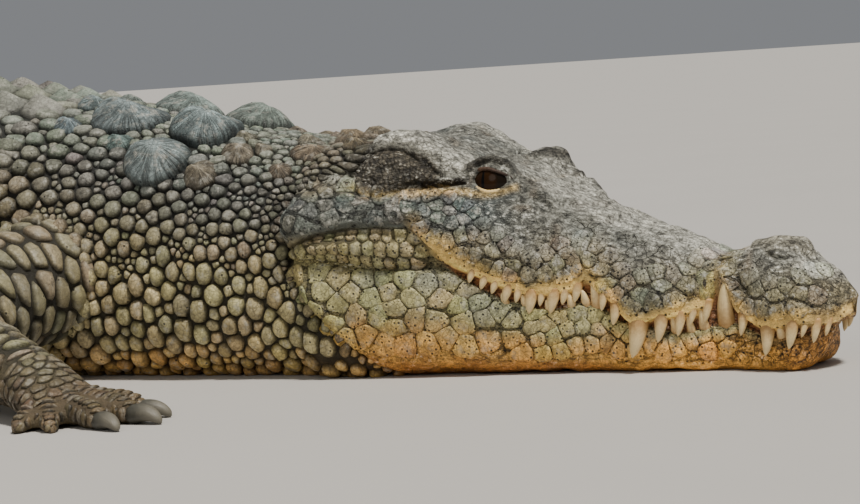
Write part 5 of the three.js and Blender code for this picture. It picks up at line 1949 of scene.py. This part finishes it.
@dataclass
class BodyCoat:
    """Scales from the fold behind the jaw to the tail's tip."""

    head: HeadShape
    body: BodyShape
    surface: BVHTree
    marking: Marking = field(default_factory=Marking)
    columns: int = 240
    crest_pitch: float = 45.9

    def __post_init__(self) -> None:
        """Lays the sheet over the skin."""
        x = np.arange(62.0, -99.0, -5.0)
        lines = self.head.rows(x)[:, [0, 1, 2, 3, 4, 9, 10, 11, 12, 13, 14, 15]]
        ring = np.concatenate([lines, lines[:, -2::-1] * np.array([-1.0, 1.0])], axis=1)
        ahead = self.body.even(ring * np.array([-1.0, 1.0]), self.columns)
        blend = smooth(-64, -98, x)[:, None, None]
        neck = self.body.ring(np.maximum(-x, 100.0), self.columns, np.full(len(x), COAT_DEPTH))
        ahead = mix(ahead, neck, blend)
        s = np.concatenate([np.arange(105.0, 2800.0, 12.0), [2815.0, 2830.0]])
        rear = self.body.grid(s, self.columns, COAT_DEPTH * smooth(TAIL_TIP + 10.0, 2500, s) + 0.2)
        front = np.stack([np.broadcast_to(x[:, None], ahead.shape[:2]), ahead[..., 0], ahead[..., 1]], axis=-1)
        self.s = np.concatenate([-x, s])
        self.sheet = Sheet(np.concatenate([front, rear]), (0.21, 0.32), (0.99, 0.99))
        self.side = self.lateral(self.sheet.points, self.s[:, None])

    def lateral(self, points: Array, s: Array) -> Array:
        """Distance to the left of the spine."""
        spine = self.body.spine
        h = np.interp(s, spine.s, spine.heading)
        x, y = np.where(s < 0, -s, np.interp(s, spine.s, spine.x)), np.interp(s, spine.s, spine.y)
        return -(points[..., 0] - x) * np.sin(h) + (points[..., 1] - y) * np.cos(h)

    def where(self, points: Array, u: Array) -> tuple[Array, Array, Array]:
        """Distance behind the skull, sideways distance without sign, and height's share of the top."""
        s = np.interp(u, np.arange(len(self.s)), self.s)
        side = np.abs(self.lateral(points, s))
        return s, side, points[..., 2] / self.body.top(np.maximum(s, 100.0))

    def locate(self, s: Array, side: Array) -> tuple[Array, Array]:
        """Row and column on the back at a distance behind the skull and to a side."""
        u = np.interp(s, self.s, np.arange(len(self.s)))
        low, high = self.columns // 4, 3 * self.columns // 4
        rows, numbers = self.side[np.round(u).astype(int), low:high], np.arange(low, high)
        v = np.array([np.interp(y, row, numbers) for row, y in zip(rows, side)])
        return u, v

    def seeds(self, places: Sequence[tuple[float, float, float, float]]) -> Seeds:
        """Seeds on the back at places given by distance, side, size and stretch."""
        s, side, size, stretch = (np.array(column, dtype=float) for column in zip(*places))
        u, v = self.locate(s, side)
        return Seeds(u, v, size, stretch)

    def colours(self, point: Array, u: Array, v: Array) -> Array:
        """Colour of each scale."""
        s, _, share = self.where(point, u)
        return self.marking.trunk(point, s, share)

    def shield_colours(self, point: Array, u: Array, v: Array) -> Array:
        """Slate on the great scutes, brown on the cones before them."""
        s, _, share = self.where(point, u)
        great = smooth(215, 235, s) * smooth(430, 410, s)
        plain = mix(self.marking.trunk(point, s, share), self.marking.rust, 0.45)
        return tint(plain, self.marking.slate * np.array([1.75, 1.8, 1.75]), 0.85 * great)

    def shield(self) -> Seeds:
        """The great scutes of the nape and the smaller cones before them."""
        one_side = [
            (242, 53, 80, 0.92), (262, 111, 66, 0.88), (342, 56, 84, 0.9), (322, 100, 28, 1.0), (178, 84, 38, 0.9),
            (196, 50, 24, 1.0), (206, 117, 34, 1.0), (78, 26, 36, 1.3), (96, 66, 32, 1.0), (128, 30, 24, 1.1),
            (120, 98, 22, 0.9), (160, 72, 22, 1.0), (52, 60, 24, 1.1), (395, 92, 30, 1.0), (405, 34, 34, 1.0),
        ]
        return self.seeds([(s, y * sign, size, stretch) for s, y, size, stretch in one_side for sign in (-1, 1)])

    def scutes(self) -> Seeds:
        """Keeled rows along the back, from behind the nape to the hips."""
        places = []
        for i, s in enumerate(np.arange(452.0, HIP_END + 8.0, self.crest_pitch)):
            reach = 3.0 if 560.0 < s < 1150.0 else 2.0
            wide = 47.0 * (0.86 + 0.14 * math.sin(math.pi * (s - 400.0) / 850.0))
            for k in np.arange(-reach + 0.5, reach):
                places.append((s + 2.0 * math.sin(3.7 * i + k), k * wide, 46.0 if abs(k) < 2 else 41.0, 1.02))
        return self.seeds(places)

    def pebble_size(self, points: Array, u: Array, v: Array) -> tuple[Array, Array]:
        """Width and stretch of the neck's pebbles."""
        s, _, share = self.where(points, u)
        gap = -(points[..., 0] - FOLD(points[..., 2]))
        low = mix(11.5, 19.5, smooth(0, 30, gap))
        high = mix(8.5, 17.0, smooth(10, 110, gap))
        size = mix(low, high, smooth(0.52, 0.78, share))
        size = mix(size, 14.0, smooth(0.86, 0.95, share)) * (1.0 + 0.28 * lumps(points, 24, 91))
        size = mix(size, 22.0, smooth(330, 420, s))
        stretch = mix(mix(1.25, 0.8, smooth(0.4, 0.78, share)), 0.5, smooth(120, 50, s) * smooth(0.6, 0.75, share))
        inside = (gap > -1.0) & (s < 440.0) & (points[..., 2] > 5.0) & ~self.on_shield(points)
        return np.where(inside, size, 0.0), stretch

    def on_shield(self, points: Array) -> Array:
        """Whether places lie under the nape's scutes."""
        covered = np.zeros(points.shape[:-1], dtype=bool)
        seeds = self.shield()
        centres = self.sheet.frame(seeds.u, seeds.v)[0]
        for centre, size in zip(centres, seeds.size):
            covered |= np.linalg.norm(points - centre, axis=-1) < 0.5 * size + 3.0
        return covered

    def granule_size(self, points: Array, u: Array, v: Array) -> tuple[Array, Array]:
        """Width and stretch of the grains between the pebbles."""
        size, stretch = self.pebble_size(points, u, v)
        share = self.where(points, u)[2]
        part = mix(0.62, 0.42, smooth(0.3, 0.5, share))
        return np.where(size > 0.0, np.maximum(6.0, part * size), 0.0), np.ones_like(stretch)

    def flank_size(self, points: Array, u: Array, v: Array) -> tuple[Array, Array]:
        """Width and stretch of the flank's scales."""
        s, side, share = self.where(points, u)
        edge = np.where((s > 560.0) & (s < 1150.0), 146.0, 98.0)
        inside = (s >= 440.0) & (s < HIP_END + 20.0) & (points[..., 2] > 26.0) & ((side > edge) | (share < 0.72))
        size = mix(20.0, 27.0, smooth(440, 620, s)) * mix(0.82, 1.0, smooth(0.2, 0.6, share))
        return np.where(inside, size, 0.0), np.full(s.shape, 0.8)

    def ring_scales(
        self, first: float, last: float, pitch: float, width: Callable[[float], float], low: float, high: float
    ) -> Seeds:
        """Scales in rings round the body between two shares of its height.

        Args:
            first: Where the rings start.
            last: Where they end.
            pitch: Distance between rings.
            width: Scale width by distance.
            low: Lowest height in millimetres.
            high: Highest height in millimetres.

        Returns:
            The seeds.
        """
        us, vs, sizes, stretches = [], [], [], []
        for s in np.arange(first, last, pitch):
            u = float(np.interp(s, self.s, np.arange(len(self.s))))
            ring = self.sheet.points[int(round(u))]
            around = np.linalg.norm(np.diff(ring, axis=0, append=ring[:1]), axis=1).sum()
            count = max(6, int(around / width(s)))
            v = (np.arange(count) + 0.5) / count * self.columns
            z = self.sheet.sample(self.sheet.points, np.full(count, u), v)[:, 2]
            v = v[(z >= low) & (z <= high)]
            long, wide = pitch, around / count
            us.append(np.full(len(v), u)), vs.append(v)
            sizes.append(np.full(len(v), math.sqrt(long * wide))), stretches.append(np.full(len(v), wide / long))
        return Seeds(*(np.concatenate(part) for part in (us, vs, sizes, stretches)))

    @staticmethod
    def tail_width(s: float) -> float:
        """Width of the tail's scales at a distance behind the skull table."""
        return mix(25.0, 12.0, smooth(1500, 2700, s))

    def coats(self) -> list[Coat]:
        """All coats of the body."""
        big = scatter(self.sheet, self.pebble_size, 41)
        grains = scatter(self.sheet, self.granule_size, 42, 1, big)
        flank = scatter(self.sheet, self.flank_size, 43)
        belly = self.ring_scales(450.0, HIP_END + 20.0, 27.0, lambda s: 26.0, -1.0, 26.0)
        belly = self.ring_scales(40.0, 440.0, 25.0, lambda s: 24.0, -1.0, 4.0).joined(belly)
        tail = self.ring_scales(HIP_END + 44.0, TAIL_TIP - 20.0, 0.5 * self.crest_pitch, self.tail_width, -1.0, 400.0)

        def coat(name: str, seeds: Seeds, kind: Kind, **more: float) -> Coat:
            """A coat on the body's sheet."""
            colours = self.shield_colours if kind is Kind.NUCHAL else self.colours
            return Coat(name, self.sheet, seeds, kind.value, colours, self.surface, **more)

        return [
            coat("nape_shield", self.shield(), Kind.NUCHAL, pale_keel=0.5),
            coat("back_scutes", self.scutes(), Kind.SCUTE, pale_keel=0.4),
            coat("neck_pebbles", grains, Kind.PEBBLE, tolerance=11.0, vary=0.26),
            coat("flank_scales", flank, Kind.FLANK, pale_keel=0.2),
            coat("belly_plates", belly, Kind.PLATE),
            coat("tail_bands", tail, Kind.BAND),
        ]

    def crests(self) -> bpy.types.Object:
        """Upright plates of the tail: two rows, then one."""
        k = 16
        double_end = HIP_END + 2.3 * 321.2
        rows = []
        for s in np.arange(HIP_END - 30.0, TAIL_TIP - 30.0, self.crest_pitch):
            half = float(self.body.half_width(s))
            if s < double_end:
                share = max(0.0, (s - HIP_END) / (double_end - HIP_END))
                side = 0.62 * half * (1.0 - 0.55 * share**2)
                grown = min(1.0, (s - HIP_END + 130.0) / 420.0)
                rows += [(s, side, 38.0 * grown, 6.5), (s, -side, 38.0 * grown, 6.5)]
            else:
                fade = min(1.0, (TAIL_TIP + 60.0 - s) / 420.0)
                rows.append((s, 0.0, 50.0 * fade, 5.5))
        stages = ((-0.22, 0.0, 0.50, 1.25), (0.0, 0.0, 0.49, 1.1), (0.22, 0.06, 0.44, 0.75), (0.5, 0.16, 0.33, 0.46),
                  (0.78, 0.28, 0.2, 0.28), (0.95, 0.37, 0.09, 0.16))
        angle = np.arange(k) * 2 * np.pi / k
        places, tones, charts = [], [], []
        for s, side, high, thick in rows:
            u, v = self.locate(np.array([s]), np.array([side]))
            base, normal, first, second = (value[0] for value in self.sheet.frame(u, v)[:4])
            up = 0.5 * normal + np.array([0.0, 0.0, 0.5])
            up /= np.linalg.norm(up)
            high = high * (0.92 + 0.12 * math.sin(2.1 * s + side))
            long = 0.94 * self.crest_pitch
            rings = [
                base + first * (np.cos(angle) * half * long + lean * long)[:, None]
                + second * (np.sin(angle) * width * thick)[:, None] + up * (rise * high)
                for rise, lean, half, width in stages
            ]
            places.append(np.vstack(rings + [base + first * 0.4 * long + up * high]))
            tones.append(self.colours(base[None], u, v)[0])
            charts.append(self.sheet.chart(u, v)[0])
        places = np.array(places)
        obj = joined_mesh("tail_crests", places, cap_faces(k, len(stages)))
        outward(obj)
        tone = np.broadcast_to(np.array(tones)[:, None], places.shape)
        rim = np.broadcast_to(np.concatenate([np.repeat([0.9, 0.5, 0.2, 0.0, 0.0, 0.0], k), [0.0]]), places.shape[:2])
        edge = np.concatenate([np.repeat([0, 0, 0, 0.1, 0.25, 0.4], k), [0.4]])[None, :, None]
        set_point_colours(obj, "Marking", np.concatenate([tone * (1 + edge), rim[..., None]], axis=-1).reshape(-1, 4))
        patch = np.stack([np.cos(angle), np.sin(angle)], axis=-1) * PATCH
        patch = np.vstack([patch * half * 2 for _, _, half, _ in stages] + [np.zeros((1, 2))])
        set_uv(obj, "OFBake", (np.array(charts)[:, None] + patch).reshape(-1, 2))
        set_uv(obj, "Scale", np.tile(patch / PATCH, (len(rows), 1)))
        return obj


@dataclass
class HeadCoat:
    """Flat scales of face, jaw and the corner of the mouth."""

    skin: Skin
    surface: BVHTree
    marking: Marking = field(default_factory=Marking)
    corner_pitch: float = 12.5

    def __post_init__(self) -> None:
        """Lays the sheet over the head, its rows running tailward."""
        grid, self.place = self.skin.head_grid()
        self.sheet = Sheet(grid[::-1].copy(), (0.01, 0.32), (0.2, 0.99))

    def colours(self, point: Array, u: Array, v: Array) -> Array:
        """Colour of each scale."""
        return self.marking.head(point)

    def jaw_size(self, points: Array, u: Array, v: Array) -> tuple[Array, Array]:
        """Width of the jaw's scales, a little longer than tall."""
        below = points[..., 2] < self.skin.head.jaw_height(points[..., 0])
        return np.where(below, face_scale(points), 0.0), np.full(points.shape[:-1], 0.86)

    def upper_size(self, points: Array, u: Array, v: Array) -> tuple[Array, Array]:
        """Width of the scales above the lip."""
        above = points[..., 2] > self.skin.head.lip_height(points[..., 0])
        return np.where(above, face_scale(points), 0.0), np.full(points.shape[:-1], 0.9)

    def corner(self) -> Seeds:
        """Rows of small scales between the jaw's margin and the lip, behind the last tooth."""
        x = self.sheet.points[:, 0, 0][::-1]
        lip, margin = self.skin.head.lip_height, self.skin.head.jaw_height
        half = len(self.place) // 2
        us, vs, sizes, stretches = [], [], [], []
        for row, q in enumerate((5.3, 6.0, 6.7)):
            for place in np.arange(-94.0 + 6.0 * (row % 2), 56.0, self.corner_pitch):
                room = float(lip(place) - margin(place))
                if room < 9.0 or (room < 18.0 and row != 1):
                    continue
                u = len(x) - 1 - np.interp(place, x, np.arange(len(x)))
                v = np.interp(q, self.place[: half + 1], np.arange(half + 1))
                tall = room / (3.0 if room >= 18.0 else 1.3)
                us += [u, u]
                vs += [v, len(self.place) - v]
                sizes += [math.sqrt(self.corner_pitch * tall)] * 2
                stretches += [tall / self.corner_pitch] * 2
        return Seeds(*(np.array(part) for part in (us, vs, sizes, stretches)))

    def coats(self) -> list[Coat]:
        """All coats of the head."""
        parts = (
            ("snout_scales", scatter(self.sheet, self.upper_size, 72), Kind.SNOUT),
            ("jaw_scales", scatter(self.sheet, self.jaw_size, 71), Kind.JAW),
            ("corner_scales", self.corner(), Kind.CORNER),
        )
        return [
            Coat(name, self.sheet, seeds, kind.value, self.colours, self.surface, vary=0.07, melt=True)
            for name, seeds, kind in parts
        ]


@dataclass
class LegCoat:
    """Scales of one leg: limb, foot and toes."""

    leg: LegShape
    surface: BVHTree
    slot: int
    marking: Marking = field(default_factory=Marking)
    scute_length: float = 8.5

    def colours(self, point: Array, u: Array, v: Array) -> Array:
        """Colour of each scale."""
        return self.marking.leg(point)

    def chart(self, place: int) -> tuple[tuple[float, float], tuple[float, float]]:
        """Corners of one part's box on the unwrap."""
        left, low = 0.02 + 0.12 * place, 0.01 + 0.075 * self.slot
        return (left, low), (left + 0.1, low + 0.065)

    def coat(self, name: str, rings: Array, place: int, size: float, stretch: float, kind: Kind, seed: int) -> Coat:
        """Scales over one part of the leg.

        Args:
            name: The coat's name after the leg's.
            rings: The part's surface.
            place: Which box of the unwrap it has.
            size: Width of a scale.
            stretch: How much wider than long a scale is.
            kind: Its kind.
            seed: Which random spread.

        Returns:
            The coat.
        """
        sheet = Sheet(rings, *self.chart(place))

        def measure(points: Array, u: Array, v: Array) -> tuple[Array, Array]:
            """Even scales wherever the part is clear of the floor."""
            return np.where(points[..., 2] > 2.5, size, 0.0), np.full(points.shape[:-1], stretch)

        seeds = scatter(sheet, measure, seed)
        return self.grown(name, sheet, seeds, kind)

    def grown(self, name: str, sheet: Sheet, seeds: Seeds, kind: Kind) -> Coat:
        """A coat of the leg."""
        name = f"{self.leg.name}_{name}"
        return Coat(name, sheet, seeds, kind.value, self.colours, self.surface, tolerance=3.2)

    def bands(self, i: int) -> Coat:
        """Broad scutes across the top of a toe with smaller ones beside them."""
        sheet = Sheet(self.leg.digit_rings(i, 24, 28, SKIN_TOE), *self.chart(2 + i))
        thick = self.leg.digits[i][2]
        row = float(np.linalg.norm(sheet.points[12].mean(0) - sheet.points[11].mean(0)))
        places = []
        for u in np.arange(5.0, 23.0, self.scute_length / row):
            for v, wide in ((7.0, 1.7 * thick), (1.2, 0.95 * thick), (12.8, 0.95 * thick)):
                places.append((u, v, math.sqrt(self.scute_length * wide), wide / self.scute_length))
        seeds = Seeds(*(np.array(column) for column in zip(*places)))
        return self.grown(f"toe_{i + 1}_scales", sheet, seeds, Kind.TOE)

    def coats(self) -> list[Coat]:
        """All coats of the leg."""
        big = 1.25 if "hind" in self.leg.name else 1.0
        parts = [
            self.coat("limb_scales", self.leg.limb(56, 64, SKIN_LIMB), 0, 24.0 * big, 1.7, Kind.LIMB, 51),
            self.coat("palm_scales", self.leg.palm_rings(20, 48, SKIN_PALM), 1, 11.5 * big, 1.7, Kind.TOE, 52),
        ]
        return parts + [self.bands(i) for i in range(len(self.leg.digits))]


# ---------------------------------------------------------------- studio
@dataclass
class Studio:
    """Floor, soft light and camera."""

    yaw: float = 30.75300589792796
    pitch: float = 4.604595378304584
    roll: float = 3.774996667429147
    eye: tuple[float, float, float] = (1262.3707537, -2134.4555369, 315.5641330)
    sensor: float = 36.0
    focal_pixels: float = 2400.0
    frame_pixels: float = 860.0

    def camera(self) -> None:
        """Sets the scene's camera."""
        data = bpy.data.cameras.new("camera")
        data.lens = self.focal_pixels / self.frame_pixels * self.sensor
        data.sensor_width, data.sensor_fit = self.sensor, "HORIZONTAL"
        data.clip_start, data.clip_end = 0.05, 60.0
        obj = linked("camera", data)
        yaw, pitch, roll = (math.radians(v) for v in (self.yaw, self.pitch, self.roll))
        forward = Vector((-math.sin(yaw) * math.cos(pitch), math.cos(yaw) * math.cos(pitch), -math.sin(pitch)))
        level = Vector((math.cos(yaw), math.sin(yaw), 0.0))
        upright = level.cross(forward)
        right = level * math.cos(roll) - upright * math.sin(roll)
        up = upright * math.cos(roll) + level * math.sin(roll)
        turn = Matrix((right, up, -forward)).transposed()
        obj.matrix_world = Matrix.Translation(Vector(Place.metres(np.array(self.eye)).tolist())) @ turn.to_4x4()
        bpy.context.scene.camera = obj

    def floor(self) -> None:
        """Pale floor under the animal."""
        bm = bmesh.new()
        bmesh.ops.create_grid(bm, x_segments=1, y_segments=1, size=60.0)
        obj = object_of("floor", bm)
        g = Graph("floor")
        tone = g.noise(g.place(), 3, 4) * 0.03 + 0.42
        links = {"Base Color": g.shaded((1.0, 0.97, 0.92), tone)}
        obj.data.materials.append(g.finish(links, {"Roughness": 0.9}, None, 0.0))

    def lights(self) -> None:
        """A broad light from behind and above, and soft light all round."""
        lamps = (("key", "SUN", (2.1, -0.5, 2.4), 4.6), ("front", "AREA", (1.6, -3.4, 2.0), 26.0))
        for name, kind, place, power in lamps:
            data = bpy.data.lights.new(name, kind)
            data.energy, data.color = power, (1.0, 0.95, 0.87)
            if kind == "SUN":
                data.angle = math.radians(9.0)
            else:
                data.shape, data.size = "DISK", 2.2
            obj = linked(name, data)
            obj.location = place
            obj.rotation_euler = (Vector((1.2, -0.1, 0.1)) - Vector(place)).to_track_quat("-Z", "Y").to_euler()
        world = bpy.data.worlds.new("studio")
        world.use_nodes = True
        background = world.node_tree.nodes["Background"]
        background.inputs["Color"].default_value = (0.92, 0.95, 1.0, 1.0)
        background.inputs["Strength"].default_value = 0.24
        bpy.context.scene.world = world

    def build(self) -> None:
        """Sets up camera, floor and lights."""
        self.camera()
        self.floor()
        self.lights()


@dataclass
class Crocodile:
    """The whole animal."""

    skin: Skin = field(default_factory=Skin)
    marking: Marking = field(default_factory=Marking)

    def add(self, obj: bpy.types.Object, material: bpy.types.Material, slot: str, *nodes: str) -> None:
        """Dresses a piece and makes it part of the animal."""
        obj.data.materials.clear()
        obj.data.materials.append(material)
        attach(obj, "root")
        if nodes:
            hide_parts(*nodes)
        obj.data.calc_loop_triangles()
        LOG.info("%s: %d triangles", obj.name, len(obj.data.loop_triangles))

    def dress_skin(self, obj: bpy.types.Object) -> None:
        """Gives the skin its colours and the strength of its cracks and pits."""
        count = len(obj.data.vertices)
        points = np.empty(count * 3, dtype=np.float32)
        obj.data.vertices.foreach_get("co", points)
        points = points.reshape(-1, 3).astype(float) / MM - Place.offset
        s = body_place(points, self.skin.body.spine)
        share = points[:, 2] / self.skin.body.top(np.maximum(s, 100.0))
        head = self.marking.head(points)
        trunk = self.marking.trunk(points, s, share)
        side = np.abs(points[:, 1])
        limb = smooth(10, 40, side - self.skin.body.half_width(np.maximum(s, 100.0)))[:, None]
        trunk = mix(trunk, self.marking.leg(points), limb)
        ahead = smooth(-5, 5, points[:, 0] - FOLD(points[:, 2]))
        colour = np.clip(mix(trunk, head, ahead[:, None]), 0.0, 1.0)
        foot = limb[:, 0] * smooth(70, 34, points[:, 2])
        x, z = points[:, 0], points[:, 2]
        lip, margin = self.skin.head.lip_height(x), self.skin.head.jaw_height(x)
        corner = smooth(62, 52, x) * smooth(lip + 1.0, lip - 1.0, z) * smooth(margin - 2.0, margin, z)
        # the alpha is how far the coat covers the skin; the hide's material darkens the skin by that much as painted
        # shade in the gaps between scales
        scaled = ahead * np.maximum(mix(0.45, 0.62, z < lip) * (face_scale(points) > 0.0), 0.7 * corner)
        set_point_colours(obj, "Marking", np.column_stack([colour, (1.0 - ahead) * (1.0 - 0.6 * foot) + scaled]))
        lower = smooth(1, -1, z - 0.5 * (self.skin.head.lip_height(x) + self.skin.head.jaw_height(x)))
        crown = smooth(30, 80, z - self.skin.head.lip_height(x)) * (1.0 - lower)
        flap = smooth(1.05, 0.9, in_oval(x, z, FLAP))
        foot = smooth(0.3, 0.1, z / np.maximum(self.skin.head.jaw_height(x), 20.0))
        band = smooth(12, 9, z - lip) * (1.0 - lower)
        cracked = ahead * (1.0 - 0.7 * flap) * (1.0 - 0.9 * band) * (1.0 - 0.6 * foot) * (1.0 - 0.4 * crown)
        pitted = ahead * (1.0 - 0.8 * crown) * (1.0 - flap) * (1.0 - 0.6 * foot)
        grainy = ahead * np.maximum(flap, 0.45 * crown)
        set_point_colours(obj, "Areas", np.column_stack([cracked, pitted, grainy, np.ones(count)]))

    def build(self) -> None:
        """Makes every piece."""
        hide = self.skin.build()
        self.dress_skin(hide)
        flesh = [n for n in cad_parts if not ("claw" in n or "eye" in n)]
        self.add(hide, HideFinish().material(), "hide", *flesh)
        surface = BVHTree.FromObject(hide, bpy.context.evaluated_depsgraph_get())
        scales = ScaleFinish().material()
        shield = ScaleFinish("shield_scales", striation=1.1, wear=0.6, contrast=1.4).material()
        jaw = ScaleFinish("jaw_scales", wear=0.35, pits=195.0, pitted=0.3, rim_shade=0.66, contrast=1.5).material()
        snout = ScaleFinish("snout_scales", wear=0.7, pits=195.0, pitted=0.4, rim_shade=0.5, contrast=2.3).material()
        neck = ScaleFinish("neck_scales", wear=0.5, rim_shade=0.93, contrast=1.5).material()
        coat = BodyCoat(self.skin.head, self.skin.body, surface)
        own = {"nape_shield": shield, "neck_pebbles": neck}
        for part in coat.coats():
            self.add(part.build(), own.get(part.name, scales), "hide")
        self.add(coat.crests(), scales, "hide")
        for part in HeadCoat(self.skin, surface).coats():
            self.add(part.build(), snout if "snout" in part.name else jaw, "hide")
        for i, leg in enumerate(LEGS):
            for part in LegCoat(leg, surface, i).coats():
                self.add(part.build(), scales, "hide")
        teeth = HornFinish("enamel", (172, 132, 78), (238, 212, 158), 0.3, 0.2).material()
        self.add(Teeth(self.skin.head).build(), teeth, "jaw_hide")
        claw = HornFinish("claw_horn", (60, 59, 52), (104, 100, 88), 0.4).material()
        for leg in LEGS:
            self.add(Claws().build(leg), claw, "claw", *(f"{leg.name}_claw_{i + 1}" for i in range(leg.clawed)))
        glaze = EyeFinish().material()
        upper = HornFinish("upper_lid", (44, 28, 18), (84, 60, 42), 0.5).material()
        lower = HornFinish("lower_lid", (176, 140, 84), (238, 208, 142), 0.5).material()
        for side, word in ((-1.0, "right"), (1.0, "left")):
            eye = Eye(side)
            self.add(eye.ball(), glaze, "eye", f"eye_{word}")
            self.add(eye.rim(f"upper_lid_{word}", 1.03, 1.7, 11, 0.055, 0.51), upper, "head_hide")
            self.add(eye.rim(f"lower_lid_{word}", 1.07, 1.9, 19, 0.5, 0.95), lower, "head_hide")


def main() -> None:
    """Builds the animal in its studio and notes its size."""
    Place.offset = part_offset()
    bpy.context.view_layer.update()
    Studio().build()
    Crocodile().build()


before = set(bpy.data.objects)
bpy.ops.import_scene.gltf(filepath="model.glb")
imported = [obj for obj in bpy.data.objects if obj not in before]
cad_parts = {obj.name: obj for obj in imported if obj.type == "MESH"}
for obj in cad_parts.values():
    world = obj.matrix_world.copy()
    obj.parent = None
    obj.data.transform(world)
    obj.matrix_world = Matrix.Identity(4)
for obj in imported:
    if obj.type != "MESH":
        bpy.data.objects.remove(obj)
if __name__ == "__main__":
    logging.basicConfig(level=logging.INFO, format="%(message)s")
    main()
